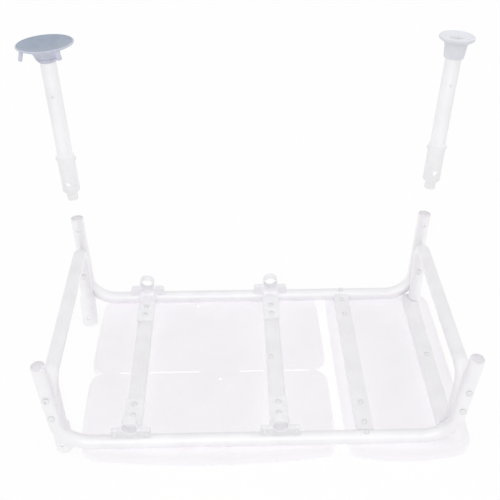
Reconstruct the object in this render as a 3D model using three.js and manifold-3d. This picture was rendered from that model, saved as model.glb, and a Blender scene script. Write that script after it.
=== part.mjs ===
// Bath transfer bench in assembly: it lies upside down on its sitting face,
// and the two far legs are held over the sockets that they slide onto.
// Millimetres. X runs along the bench, Y across it, Z up from the sitting face.
import * as THREE from 'three';
import Module from 'manifold-3d';
import { mergeVertices } from 'three/addons/utils/BufferGeometryUtils.js';

const wasm = await Module();
wasm.setup();

// Fits and resolution
const joinGap = 0.3;            // air left between pieces that touch
const cutOverrun = 6;           // how far a cutting tool passes the face it cuts
const weldTolerance = 0.0005;
const tubeSides = 14;
const bendSteps = 6;
const roundSides = 20;
const boltSides = 8;
const hiddenHoleSides = 6;
const openHoleSides = 10;
const boreSides = 10;
const cornerSteps = 3;          // facets of a small rounded corner
const edgeSteps = 5;            // facets of a long curved edge
const reachOver = 3;            // how many sizes long a tool is that spans a whole piece

// Frame tube
const frameTubeDiameter = 24;
const frameTubeWall = 1.3;
const frameTubeRadius = frameTubeDiameter / 2;
const frameBoreRadius = frameTubeRadius - frameTubeWall;
const railHalfSpacing = 190;
const socketHalfSpacing = 330;

// Seat
const seatThickness = 30;
const seatOverhangAcross = 25;  // seat's edge beyond the rail's axis
const seatInsetLeft = 24;       // seat's left edge, inward of the sockets
const seatOverhangRight = 39;   // seat's right edge, outward of the sockets
const seatHalfDepth = railHalfSpacing + seatOverhangAcross;
const largePanelLeft = seatInsetLeft - socketHalfSpacing;
const largePanelRight = 138;
const panelGap = 9;
const smallPanelLeft = largePanelRight + panelGap;
const smallPanelRight = socketHalfSpacing + seatOverhangRight;
const seatCornerRadius = 38;
const largeInnerCornerRadius = 26;
const largeEdgeBow = 12;        // how far a panel's edges along the bench bulge
const smallEdgeBow = 8;
const sideBow = 2;              // how far the edges across the bench bulge
const seatRimRadius = 8;
const notchDepth = 17;
const notchHalfWidth = 14;
const notchCentreY = -15;
const grooveY = -17;
const grooveWidth = 3.2;
const grooveDepth = 1.6;
const grooveRuns = [[-251, -232], [-194, -102], [-27, 18], [58, 101]];
const dimpleRadius = 2.6;
const dimpleDepth = 2.4;
const dimplePlaces = [[-111, 173], [-64, -37]];
const underside = seatThickness;

// Rails: one bent tube each, ends turned up as leg sockets
const railAxisHeight = underside + joinGap + frameTubeRadius;
const socketLeanAlong = 0.045;  // outward run per unit of rise, along the bench
const socketLeanAcross = 0.068; // outward run per unit of rise, across the bench
const socketRise = 190;         // from the rail's axis to the socket's open end
const railBendRadius = 55;
const lockHoleBelowEnd = 22;
const lockHoleRadius = 3.9;

// End frames
const endFrameCrossRise = 135;
const endFrameBendRadius = 26;
const armSocketFloorGap = 2;
const armSocketRadius = 15.5;   // the left tails are swaged wider as armrest sockets
const armSocketLength = 58;
const armSocketTaper = 8;
const armPinHoleHeight = 23;
const armPinHoleRadius = 4;
const frameBoltRise = 77;
const frameScrewRise = 122;
const frameScrewBite = 8;       // how deep the upper screw goes into the end frame
const frameBoltRadius = 3;
const frameBoltHeadRadius = 6;
const frameBoltHeadHeight = 3.6;
const frameNutRadius = 5.6;
const frameNutHeight = 5.2;
const endFrameX = socketHalfSpacing + socketLeanAlong * frameBoltRise;

// Crossbars
const crossbarHeight = 20;
const crossbarWall = 1.8;
const softBarWidth = 30;
const softBarCornerRadius = 7;
const crispBarWidth = 28;
const endBarWidth = 27;
const crispBarCornerRadius = 2;
const boreCornerShare = 0.2;    // wall added where the section's corners are round
const bracketBarPlaces = [-213, 38];
const middleBarX = 184;
const endBarInset = 8.5;
const endBarX = endFrameX - endBarInset;
const barReachUnderRail = 7;    // how far a bar's end goes past the rail's side

// Screws into the seat
const seatScrewRadius = 2.4;
const seatScrewHeadRadius = 4.6;
const seatScrewHeadHeight = 2.8;
const seatScrewBite = 14;       // how deep the screw goes into the seat
const outerScrewInset = 26;     // screw rows, measured inward from the rail's axis
const innerScrewInset = 72;
const outerScrewRow = railHalfSpacing - outerScrewInset;
const innerScrewRow = railHalfSpacing - innerScrewInset;
const middleBarScrewRows = [-outerScrewRow, -innerScrewRow, innerScrewRow, outerScrewRow];
const bracketBarScrewOffset = 7;
const endBarScrewOffset = 9;
const endBarScrewInset = 18.5;
const endBarScrewX = endBarX - endBarScrewOffset;
const endBarScrewY = railHalfSpacing - endBarScrewInset;

// Backrest brackets
const footPlateWidth = 32;
const footPlateReach = 86;      // from the rail's axis inward along the crossbar
const footPlateStart = railHalfSpacing - footPlateReach;
const footPlateThickness = 4.5;
const wallWidth = 66;
const wallThickness = 7;
const wallTopRise = 27.5;
const wallCornerRadius = 5;
const wallCentreInset = 3.2;    // wall's middle, measured inward from the rail's axis
const gussetRun = 26;
const gussetThickness = 4;
const ringPlateThickness = 3;
const ringOuterRadius = 14.3;
const ringBoreRadius = 12.6;
const ringLength = 16;
const ringRise = 38;
const ringPlateShareInside = 0.6;
const ringLipRadius = 0.8;
const wallStudSpread = 27;
const wallStudRise = 20;
const wallStudRadius = 2;
const wallStudHeadRadius = 3.6;
const wallStudHeadHeight = 2.2;
const innerBoltInset = 71;
const outerBoltInset = 46;
const footBoltRows = [railHalfSpacing - innerBoltInset, railHalfSpacing - outerBoltInset];
const footBoltRadius = 2.6;
const footBoltHeadRadius = 5;
const footBoltHeadHeight = 3.2;

// Legs
const legTubeRadius = 14;
const legTubeWall = 1.3;
const sleeveRadius = 16;
const socketFit = 0.4;          // radial slip fit of the sleeve over the socket
const plugFit = 0.15;           // radial slip fit of the plug in the socket
const sleeveBoreRadius = frameTubeRadius + socketFit;
const plugRadius = frameBoreRadius * Math.cos(Math.PI / boreSides) - plugFit;
const plugWall = 1.3;
const plugReach = 18;           // how far the plug sticks out of the sleeve
const sleeveLength = 74;
const sleeveShoulder = 43;      // where the leg tube starts inside the sleeve
const sleeveRimRound = 1.2;
const plugShoulderFit = 0.3;
const sleeveHoleAlong = 20;
const legTubeEnd = 262;
const leftLegGap = 62;          // open socket to sleeve, as the legs are held
const rightLegGap = 76;
const rivetBelowTop = 8;
const rivetAlong = sleeveLength - rivetBelowTop;
const rivetRadius = 2.2;
const rivetHeadRadius = 4;
const rivetHeadHeight = 2.2;
const gaugeHoleRadius = 2.6;
const gaugeHoleBelowEnd = 71;
const gaugeHoleAlong = legTubeEnd - gaugeHoleBelowEnd;

// Snap button and its leaf spring
const buttonRadius = 3.2;
const buttonHoleRadius = 3.6;
const buttonProud = 2.2;
const buttonPressedBelow = 0.5;
const buttonFlangeRadius = 4.4;
const buttonFlangeThickness = 1;
const springWidth = 6;
const springThickness = 0.5;
const springLength = 24;
const springFoldRadius = 2.1;

// Feet
const suctionDiscRadius = 50;
const suctionFaceBeyondTube = 22;
const suctionFaceAlong = legTubeEnd + suctionFaceBeyondTube;
const suctionDish = 9;
const suctionRimThickness = 2.6;
const suctionStemRadius = 21;
const suctionSkirtDepth = 15;
const suctionSkirtSwell = 4;
const discSides = 28;
const collarOverTube = 10;
const collarLowAlong = legTubeEnd - collarOverTube;
const collarLowRadius = 16;
const collarHighRadius = 20;
const collarLength = 8;
const tabWidth = 9;
const tabLength = 12;
const tabThickness = 2.6;
const tabReach = 6;
const tabLean = 0.35;
const tabAngles = [46, 126];
const tipFaceBeyondTube = 15;
const tipFaceAlong = legTubeEnd + tipFaceBeyondTube;
const tipFlareRadius = 31;
const tipDish = 5;
const tipRimThickness = 5;
const tipNeckShare = 0.7;
const tipCollarOverTube = 24;
const tipCollarAlong = legTubeEnd - tipCollarOverTube;
const tipCollarRadius = 17.4;
const tipNeckRadius = 20.5;
const washerRadius = 11;
const washerBoreRadius = 3.5;
const washerThickness = 1.6;

// Shares of the sizes that shape heads, rims and skirts
const headShoulderShare = 0.35;
const headCrownShare = 0.6;
const nutChamferShare = 0.4;
const rivetRimShare = 0.3;
const buttonCrownShare = 0.45;
const buttonFlatShare = 0.55;
const collarFlareShares = [0.4, 0.3];  // of the collar's swell, and of its length
const collarRimShare = 0.15;
const skirtShares = [0.75, 0.55];      // of the disc's radius, and of the skirt's depth
const rimFaceShare = 0.96;
const rimEdgeShare = 0.3;
const dishShares = [[0.72, 0.35], [0.42, 0.8]];
const tabSeatShare = 0.4;
const tabCornerShare = 0.33;
const notchThroatShare = 0.25;
const tipShoulderShares = [0.6, 1.6];
const tipEdgeShare = 0.3;

// Finishes
function finish(color, roughness, metalness) {
  return new THREE.MeshStandardMaterial({ color, roughness, metalness });
}
const anodised = finish(0xd9dbe0, 0.4, 0.8);
const seatPlastic = finish(0xeceef4, 0.55, 0);
const castPlastic = finish(0xd3d6de, 0.5, 0);
const brightSteel = finish(0xc9ccd2, 0.25, 1);
const sleevePlastic = finish(0xdfe2e8, 0.4, 0.1);
const suctionRubber = finish(0x8f9db4, 0.7, 0);
const tipRubber = finish(0xc3ccda, 0.75, 0);
const springSteel = finish(0x9a9ea6, 0.35, 1);

// Solid helpers
function solidOf(geometry) {
  const bare = geometry.clone();
  bare.deleteAttribute('normal');
  bare.deleteAttribute('uv');
  const merged = mergeVertices(bare, weldTolerance);
  return new wasm.Manifold(new wasm.Mesh({
    numProp: 3,
    vertProperties: new Float32Array(merged.attributes.position.array),
    triVerts: new Uint32Array(merged.index.array),
  }));
}

function geometryOf(solid) {
  const data = solid.getMesh();
  const geometry = new THREE.BufferGeometry();
  geometry.setAttribute('position', new THREE.BufferAttribute(data.vertProperties, 3));
  geometry.setIndex(new THREE.BufferAttribute(data.triVerts, 1));
  geometry.computeVertexNormals();
  return geometry;
}

function joined(solids) {
  return solids.reduce((sum, next) => sum.add(next));
}

function cut(solid, tools) {
  return tools.reduce((left, tool) => left.subtract(tool), solid);
}

// A solid whose own Z axis is laid along a direction, with its own X near a hint.
function placed(geometry, position, along, hint) {
  const zAxis = along.clone().normalize();
  const sideHint = hint || new THREE.Vector3(1, 0, 0);
  const yAxis = new THREE.Vector3().crossVectors(zAxis, sideHint).normalize();
  const xAxis = new THREE.Vector3().crossVectors(yAxis, zAxis);
  const turn = new THREE.Matrix4().makeBasis(xAxis, yAxis, zAxis);
  turn.setPosition(position);
  return geometry.clone().applyMatrix4(turn);
}

// A closed revolve about Z; the profile is a ring of [radius, height] pairs.
function turned(profile, sides = roundSides) {
  const ring = profile.map(([radius, height]) => new THREE.Vector2(radius, height));
  const first = ring[0];
  const last = ring[ring.length - 1];
  const open = first.x !== 0 || last.x !== 0;
  if (open) ring.push(first.clone());
  return new THREE.LatheGeometry(ring, sides).rotateX(Math.PI / 2);
}

function rod(radius, start, end, sides) {
  return turned([[0, start], [radius, start], [radius, end], [0, end]], sides);
}

// A drill for a fastener's hole: its flats clear the shank all round.
function drill(shankRadius, start, end) {
  const radius = (shankRadius + joinGap) / Math.cos(Math.PI / hiddenHoleSides);
  return rod(radius, start, end, hiddenHoleSides);
}

function block(sizeX, sizeY, sizeZ, centre) {
  return new THREE.BoxGeometry(sizeX, sizeY, sizeZ).translate(centre.x, centre.y, centre.z);
}

function extruded(outline, depth, curveSegments) {
  return new THREE.ExtrudeGeometry(outline, { depth, bevelEnabled: false, curveSegments });
}

function vec(x, y, z) {
  return new THREE.Vector3(x, y, z);
}

// Bent tubes
// A route of straight runs joined by round bends. Its stations stand only where
// the tube turns, so a straight run stays one clean length of tube.
class BentTubePath extends THREE.Curve {
  constructor(corners, bendRadius) {
    super();
    this.stations = [];
    const last = corners.length - 1;
    const headings = corners.slice(1).map((corner, i) => corner.clone().sub(corners[i]).normalize());
    this.stations.push({ point: corners[0], heading: headings[0] });
    for (let i = 1; i < last; i += 1) {
      this.addBend(corners[i], headings[i - 1], headings[i], bendRadius);
    }
    this.stations.push({ point: corners[last], heading: headings[last - 1] });
  }

  addBend(corner, incoming, outgoing, bendRadius) {
    const turn = incoming.angleTo(outgoing);
    const setback = bendRadius * Math.tan(turn / 2);
    const start = corner.clone().addScaledVector(incoming, -setback);
    const axis = new THREE.Vector3().crossVectors(incoming, outgoing).normalize();
    const toCentre = new THREE.Vector3().crossVectors(axis, incoming);
    const centre = start.clone().addScaledVector(toCentre, bendRadius);
    for (let step = 0; step <= bendSteps; step += 1) {
      const angle = turn * step / bendSteps;
      const spoke = start.clone().sub(centre).applyAxisAngle(axis, angle);
      const heading = incoming.clone().applyAxisAngle(axis, angle);
      this.stations.push({ point: centre.clone().add(spoke), heading });
    }
  }

  get steps() {
    return this.stations.length - 1;
  }

  getPoint(t, target = new THREE.Vector3()) {
    const place = Math.min(t * this.steps, this.steps);
    const i = Math.min(Math.floor(place), this.steps - 1);
    return target.lerpVectors(this.stations[i].point, this.stations[i + 1].point, place - i);
  }

  getPointAt(t, target) {
    return this.getPoint(t, target);
  }

  getSpacedPoints(divisions) {
    return Array.from({ length: divisions + 1 }, (unused, i) => this.getPoint(i / divisions));
  }

  getTangent(t, target = new THREE.Vector3()) {
    return target.copy(this.stations[Math.round(t * this.steps)].heading);
  }

  getTangentAt(t, target) {
    return this.getTangent(t, target);
  }
}

function sweptRound(radius, sides, corners, bendRadius) {
  const path = new BentTubePath(corners, bendRadius);
  const section = new THREE.Shape();
  for (let i = 0; i < sides; i += 1) {
    const angle = 2 * Math.PI * (i + 1 / 2) / sides;
    const x = radius * Math.cos(angle);
    const y = radius * Math.sin(angle);
    if (i === 0) section.moveTo(x, y);
    else section.lineTo(x, y);
  }
  section.closePath();
  return solidOf(new THREE.ExtrudeGeometry(section, { steps: path.steps, extrudePath: path }));
}

function lengthened(corners, extra) {
  const longer = corners.map((corner) => corner.clone());
  const end = longer.length - 1;
  const first = longer[0].clone().sub(longer[1]).normalize();
  const last = longer[end].clone().sub(longer[end - 1]).normalize();
  longer[0].addScaledVector(first, extra);
  longer[end].addScaledVector(last, extra);
  return longer;
}

function bentTube(corners, bendRadius) {
  const outside = sweptRound(frameTubeRadius, tubeSides, corners, bendRadius);
  const bore = sweptRound(frameBoreRadius, boreSides, lengthened(corners, cutOverrun), bendRadius);
  return outside.subtract(bore);
}

// Places shared by the frame and the legs
const signs = [-1, 1];

function socketPoint(signX, signY, rise) {
  return vec(
    signX * (socketHalfSpacing + socketLeanAlong * rise),
    signY * (railHalfSpacing + socketLeanAcross * rise),
    railAxisHeight + rise,
  );
}

function socketDirection(signX, signY) {
  return vec(signX * socketLeanAlong, signY * socketLeanAcross, 1).normalize();
}

// Square to the socket, pointing in across the bench: the way a button points.
function inward(signX, signY) {
  const direction = socketDirection(signX, signY);
  const side = vec(0, -signY, 0);
  return side.addScaledVector(direction, -side.dot(direction)).normalize();
}

const endFrameOffset = (frameTubeDiameter + joinGap) * Math.hypot(1, socketLeanAcross);

function endFrameY(signY, rise) {
  return signY * (railHalfSpacing + socketLeanAcross * rise - endFrameOffset);
}

// Rails
function railCorners(signY) {
  return [
    socketPoint(-1, signY, socketRise),
    socketPoint(-1, signY, 0),
    socketPoint(1, signY, 0),
    socketPoint(1, signY, socketRise),
  ];
}

function acrossHole(x, y, height, radius, reach) {
  const tool = rod(radius, -reach, reach, openHoleSides);
  return solidOf(placed(tool, vec(x, y, height), vec(0, 1, 0)));
}

// Square to the socket's lean: the way a frame bolt's head points.
function outward(signY) {
  return vec(0, signY, -socketLeanAcross).normalize();
}

const frameBoltGrip = frameTubeDiameter * 2 + joinGap * 3;

const frameScrewLength = frameTubeDiameter + joinGap * 2 + frameScrewBite;

function frameBoltSeat(signX, signY, rise) {
  const seat = socketPoint(signX, signY, rise);
  return seat.addScaledVector(outward(signY), frameTubeRadius + joinGap);
}

// The lower fastener is a bolt through both tubes, the upper one a screw that
// ends inside the end frame.
function frameFastenerHoles(signX, signY) {
  const boltDrill = drill(frameBoltRadius, -frameBoltGrip - cutOverrun, cutOverrun);
  const screwDrill = drill(frameBoltRadius, -frameScrewLength - joinGap, cutOverrun);
  return [
    solidOf(placed(boltDrill, frameBoltSeat(signX, signY, frameBoltRise), outward(signY))),
    solidOf(placed(screwDrill, frameBoltSeat(signX, signY, frameScrewRise), outward(signY))),
  ];
}

function rail(signY) {
  const tools = [];
  signs.forEach((signX) => {
    const direction = socketDirection(signX, signY);
    const lock = socketPoint(signX, signY, socketRise).addScaledVector(direction, -lockHoleBelowEnd);
    const lockDrill = rod(lockHoleRadius, 0, frameTubeDiameter, openHoleSides);
    tools.push(solidOf(placed(lockDrill, lock, inward(signX, signY))));
    tools.push(...frameFastenerHoles(signX, signY));
  });
  tools.push(railScrewHole(signY));
  return cut(bentTube(railCorners(signY), railBendRadius), tools);
}

// End frames
// The tails' ends are swaged where the armrest plugs in.
function tailSocket(signX, signY, tailHeight, radius) {
  const rise = tailHeight - railAxisHeight;
  const widened = turned([
    [0, -cutOverrun],
    [radius, -cutOverrun],
    [radius, armSocketLength],
    [radius - armSocketRadius + frameTubeRadius, armSocketLength + armSocketTaper],
    [0, armSocketLength + armSocketTaper],
  ]);
  const end = vec(signX * endFrameX, endFrameY(signY, rise), tailHeight);
  return solidOf(placed(widened, end, vec(0, signY * socketLeanAcross, 1)));
}

function endFrame(signX, tailHeight, swaged) {
  const x = signX * endFrameX;
  const tailRise = tailHeight - railAxisHeight;
  const corners = [
    vec(x, endFrameY(-1, tailRise), tailHeight),
    vec(x, endFrameY(-1, endFrameCrossRise), railAxisHeight + endFrameCrossRise),
    vec(x, endFrameY(1, endFrameCrossRise), railAxisHeight + endFrameCrossRise),
    vec(x, endFrameY(1, tailRise), tailHeight),
  ];
  const longCorners = lengthened(corners, frameTubeRadius);
  const outsides = [sweptRound(frameTubeRadius, tubeSides, longCorners, endFrameBendRadius)];
  const boreCorners = lengthened(longCorners, cutOverrun);
  const tools = [sweptRound(frameBoreRadius, boreSides, boreCorners, endFrameBendRadius)];
  const below = block(
    frameTubeDiameter * 2,
    railHalfSpacing * reachOver,
    frameTubeDiameter * 2,
    vec(x, 0, tailHeight - frameTubeDiameter),
  );
  tools.push(solidOf(below));
  signs.forEach((signY) => {
    tools.push(...frameFastenerHoles(signX, signY));
    if (swaged) {
      const y = endFrameY(signY, armPinHoleHeight - railAxisHeight);
      outsides.push(tailSocket(signX, signY, tailHeight, armSocketRadius));
      tools.push(tailSocket(signX, signY, tailHeight, armSocketRadius - frameTubeWall));
      tools.push(acrossHole(x, y, armPinHoleHeight, armPinHoleRadius, frameTubeDiameter));
    }
  });
  return cut(joined(outsides), tools);
}

function domedHead(shankRadius, headRadius, headHeight, shankLength) {
  const shoulder = headHeight * headShoulderShare;
  return turned([
    [0, -shankLength],
    [shankRadius, -shankLength],
    [shankRadius, 0],
    [headRadius, 0],
    [headRadius, shoulder],
    [headRadius * headCrownShare, headHeight],
    [0, headHeight],
  ], boltSides);
}

// Bolt and domed nut, tightened together through socket and end frame.
function frameBolt() {
  const nutTop = -frameBoltGrip - frameNutHeight;
  return turned([
    [0, nutTop],
    [frameNutRadius * headCrownShare, nutTop],
    [frameNutRadius, nutTop + frameNutHeight * nutChamferShare],
    [frameNutRadius, -frameBoltGrip],
    [frameBoltRadius, -frameBoltGrip],
    [frameBoltRadius, 0],
    [frameBoltHeadRadius, 0],
    [frameBoltHeadRadius, frameBoltHeadHeight * headShoulderShare],
    [frameBoltHeadRadius * headCrownShare, frameBoltHeadHeight],
    [0, frameBoltHeadHeight],
  ], boltSides);
}

function frameScrew() {
  return domedHead(frameBoltRadius, frameBoltHeadRadius, frameBoltHeadHeight, frameScrewLength);
}

// Crossbars
function roundedRectangle(width, height, radius) {
  const halfWidth = width / 2 - radius;
  const halfHeight = height / 2 - radius;
  const outline = new THREE.Shape();
  outline.absarc(halfWidth, halfHeight, radius, 0, Math.PI / 2, false);
  outline.absarc(-halfWidth, halfHeight, radius, Math.PI / 2, Math.PI, false);
  outline.absarc(-halfWidth, -halfHeight, radius, Math.PI, Math.PI * 3 / 2, false);
  outline.absarc(halfWidth, -halfHeight, radius, Math.PI * 3 / 2, Math.PI * 2, false);
  return outline;
}

function plainRectangle(width, height) {
  const outline = new THREE.Path();
  outline.moveTo(-width / 2, -height / 2);
  outline.lineTo(-width / 2, height / 2);
  outline.lineTo(width / 2, height / 2);
  outline.lineTo(width / 2, -height / 2);
  outline.closePath();
  return outline;
}

function railSpace(signY, clearance) {
  const space = rod(frameTubeRadius + clearance, -socketHalfSpacing * 2, socketHalfSpacing * 2, roundSides);
  return solidOf(placed(space, vec(0, signY * railHalfSpacing, railAxisHeight), vec(1, 0, 0), vec(0, 0, 1)));
}

function barTube(width, cornerRadius, x, halfLength) {
  const section = roundedRectangle(width, crossbarHeight, cornerRadius);
  const wall = crossbarWall + cornerRadius * boreCornerShare;
  const boreWidth = width - wall * 2;
  const boreHeight = crossbarHeight - wall * 2;
  section.holes.push(plainRectangle(boreWidth, boreHeight));
  const tube = new THREE.ExtrudeGeometry(section, {
    depth: halfLength * 2,
    bevelEnabled: false,
    curveSegments: 2,
  });
  tube.translate(0, 0, -halfLength);
  tube.rotateX(Math.PI / 2);
  tube.translate(x, 0, underside + joinGap + crossbarHeight / 2);
  return cut(solidOf(tube), signs.map((signY) => railSpace(signY, joinGap)));
}

const barTop = underside + joinGap + crossbarHeight;
const copedHalfLength = railHalfSpacing - barReachUnderRail;
const squareHalfLength = railHalfSpacing - frameTubeRadius - joinGap;

function uprightHole(x, y, radius) {
  const bottom = underside - seatScrewBite - joinGap * 2;
  return solidOf(drill(radius, bottom, railAxisHeight * 2).translate(x, y, 0));
}

// Where each screw that bites into the seat stands, and how high its head sits.
const seatScrewPlaces = [
  ...middleBarScrewRows.map((y, i) => [`middle_crossbar_screw_${i + 1}`, middleBarX, y, barTop]),
  ['bracket_crossbar_screw', bracketBarPlaces[1] - bracketBarScrewOffset, 0, barTop],
  ['end_crossbar_screw_1', endBarScrewX, -endBarScrewY, barTop],
  ['end_crossbar_screw_2', endBarX, 0, barTop],
  ['end_crossbar_screw_3', endBarScrewX, endBarScrewY, barTop],
  ['near_rail_screw', middleBarX, -railHalfSpacing, railAxisHeight + frameTubeRadius],
  ['far_rail_screw', middleBarX, railHalfSpacing, railAxisHeight + frameTubeRadius],
];

const footBoltPlaces = [];
bracketBarPlaces.forEach((x) => signs.forEach((signY) => {
  footBoltRows.forEach((row) => footBoltPlaces.push([x, signY * row]));
}));

function seatFastenerHoles() {
  const screws = seatScrewPlaces.map(([, x, y]) => uprightHole(x, y, seatScrewRadius));
  const bolts = footBoltPlaces.map(([x, y]) => uprightHole(x, y, footBoltRadius));
  return [...screws, ...bolts];
}

function railScrewHole(signY) {
  return uprightHole(middleBarX, signY * railHalfSpacing, seatScrewRadius);
}

function bracketBar(x) {
  return cut(barTube(softBarWidth, softBarCornerRadius, x, copedHalfLength), seatFastenerHoles());
}

function middleBar() {
  return cut(barTube(crispBarWidth, crispBarCornerRadius, middleBarX, copedHalfLength), seatFastenerHoles());
}

// The end bar is notched round the two tails of the right end frame.
function endBar() {
  const tails = signs.map((signY) => {
    const space = rod(frameTubeRadius + joinGap * 2, -railAxisHeight, railAxisHeight, roundSides);
    const centre = vec(endFrameX, endFrameY(signY, 0), railAxisHeight);
    return solidOf(placed(space, centre, vec(0, signY * socketLeanAcross, 1)));
  });
  const slivers = signs.map((signY) => {
    const start = endFrameY(1, 0);
    const length = railHalfSpacing - start + cutOverrun;
    const size = endBarWidth;
    const centre = vec(endFrameX + size / 2, signY * (start + length / 2), barTop);
    return solidOf(block(size, length, crossbarHeight * reachOver, centre));
  });
  const bar = barTube(endBarWidth, crispBarCornerRadius, endBarX, squareHalfLength);
  return cut(bar, [...tails, ...slivers, ...seatFastenerHoles()]);
}

function seatScrew(top) {
  const length = top + joinGap - (underside - seatScrewBite);
  return domedHead(seatScrewRadius, seatScrewHeadRadius, seatScrewHeadHeight, length);
}

// Seat
// Outline of a panel with bowed edges. Each corner has its own radius, and an
// edge can carry a thumb notch, a cusp between two rounded lobes.
function panelOutline(left, right, leftRadius, rightRadius, bow, notched) {
  const outline = new THREE.Shape();
  const edge = seatHalfDepth;
  const corner = edge - bow;
  const middle = (left + right) / 2;
  const leftSide = left + sideBow;
  const rightSide = right - sideBow;
  outline.moveTo(left + leftRadius, -corner);
  outline.quadraticCurveTo(middle, -edge - bow, right - rightRadius, -corner);
  outline.quadraticCurveTo(rightSide, -corner, rightSide, rightRadius - corner);
  if (notched) addNotch(outline, right, 1);
  outline.quadraticCurveTo(right, notched ? edge / 2 : 0, rightSide, corner - rightRadius);
  outline.quadraticCurveTo(rightSide, corner, right - rightRadius, corner);
  outline.quadraticCurveTo(middle, edge + bow, left + leftRadius, corner);
  outline.quadraticCurveTo(leftSide, corner, leftSide, corner - leftRadius);
  if (notched) addNotch(outline, left, -1);
  outline.quadraticCurveTo(left, notched ? -edge / 2 : 0, leftSide, leftRadius - corner);
  outline.quadraticCurveTo(leftSide, -corner, left + leftRadius, -corner);
  return outline;
}

// sign is 1 on the right edge, drawn far-ward, and -1 on the left, drawn near-ward.
function addNotch(outline, edge, sign) {
  const lobe = notchHalfWidth * 2;
  const start = notchCentreY - sign * (notchHalfWidth + lobe);
  const end = notchCentreY + sign * (notchHalfWidth + lobe);
  const mouth = sign * notchHalfWidth;
  const tip = edge - sign * notchDepth;
  const throat = edge - sign * notchDepth * notchThroatShare;
  const entry = notchCentreY - mouth / 2;
  const exit = notchCentreY + mouth / 2;
  outline.quadraticCurveTo(edge, (start - sign * seatHalfDepth) / 2, edge, start);
  outline.bezierCurveTo(edge, start + sign * lobe, throat, entry, tip, notchCentreY);
  outline.bezierCurveTo(throat, exit, edge, end - sign * lobe, edge, end);
}

function seatPanel(outline) {
  const panel = new THREE.ExtrudeGeometry(outline, {
    depth: seatThickness - seatRimRadius * 2,
    bevelThickness: seatRimRadius,
    bevelSize: seatRimRadius,
    bevelOffset: -seatRimRadius,
    bevelSegments: cornerSteps,
    curveSegments: edgeSteps,
  });
  return solidOf(panel.translate(0, 0, seatRimRadius));
}

function grooveTools() {
  return grooveRuns.map(([start, end]) => {
    const centre = vec((start + end) / 2, grooveY, underside);
    return solidOf(block(end - start, grooveWidth, grooveDepth * 2, centre));
  });
}

function dimpleTools() {
  return dimplePlaces.map(([x, y]) => {
    const tool = rod(dimpleRadius, underside - dimpleDepth, underside + cutOverrun, hiddenHoleSides);
    return solidOf(tool.translate(x, y, 0));
  });
}

function largeSeatPanel() {
  const outline = panelOutline(
    largePanelLeft,
    largePanelRight,
    seatCornerRadius,
    largeInnerCornerRadius,
    largeEdgeBow,
    true,
  );
  return cut(seatPanel(outline), [...grooveTools(), ...dimpleTools(), ...seatFastenerHoles()]);
}

function smallSeatPanel() {
  const outline = panelOutline(
    smallPanelLeft,
    smallPanelRight,
    seatCornerRadius,
    seatCornerRadius,
    smallEdgeBow,
    false,
  );
  return cut(seatPanel(outline), seatFastenerHoles());
}

// Backrest brackets
const wallMiddleY = railHalfSpacing - wallCentreInset;
const wallOuterY = wallMiddleY + wallThickness / 2;
const wallBottom = railAxisHeight;
const wallTop = railAxisHeight + wallTopRise;
const ringHeight = railAxisHeight + ringRise;
const plateInnerY = wallOuterY + joinGap;
const plateOuterY = plateInnerY + ringPlateThickness;

// A plate standing along the rail, with its upper corners rounded.
function standingPlate(x, signY, innerY, thickness, bottom) {
  const half = wallWidth / 2;
  const outline = new THREE.Shape();
  outline.moveTo(-half, bottom);
  outline.lineTo(half, bottom);
  outline.lineTo(half, wallTop - wallCornerRadius);
  outline.quadraticCurveTo(half, wallTop, half - wallCornerRadius, wallTop);
  outline.lineTo(wallCornerRadius - half, wallTop);
  outline.quadraticCurveTo(-half, wallTop, -half, wallTop - wallCornerRadius);
  outline.closePath();
  const plate = extruded(outline, thickness, cornerSteps);
  plate.rotateX(Math.PI / 2);
  const nearFace = signY > 0 ? innerY + thickness : -innerY;
  return solidOf(plate.translate(x, nearFace, 0));
}

function wallStudHoles(x, signY) {
  return signs.map((side) => {
    const centre = vec(x + side * wallStudSpread, signY * wallMiddleY, railAxisHeight + wallStudRise);
    return solidOf(placed(drill(wallStudRadius, -wallThickness, wallThickness), centre, vec(0, 1, 0)));
  });
}

// Studs that fasten a ring plate: a domed head outside, a pin through the wall.
function wallStuds(x, signY) {
  return signs.map((side) => {
    const pin = ringPlateThickness + joinGap + wallThickness;
    const stud = domedHead(wallStudRadius, wallStudHeadRadius, wallStudHeadHeight, pin);
    const seat = vec(x + side * wallStudSpread, signY * plateOuterY, railAxisHeight + wallStudRise);
    return solidOf(placed(stud, seat, vec(0, signY, 0)));
  });
}

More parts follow.
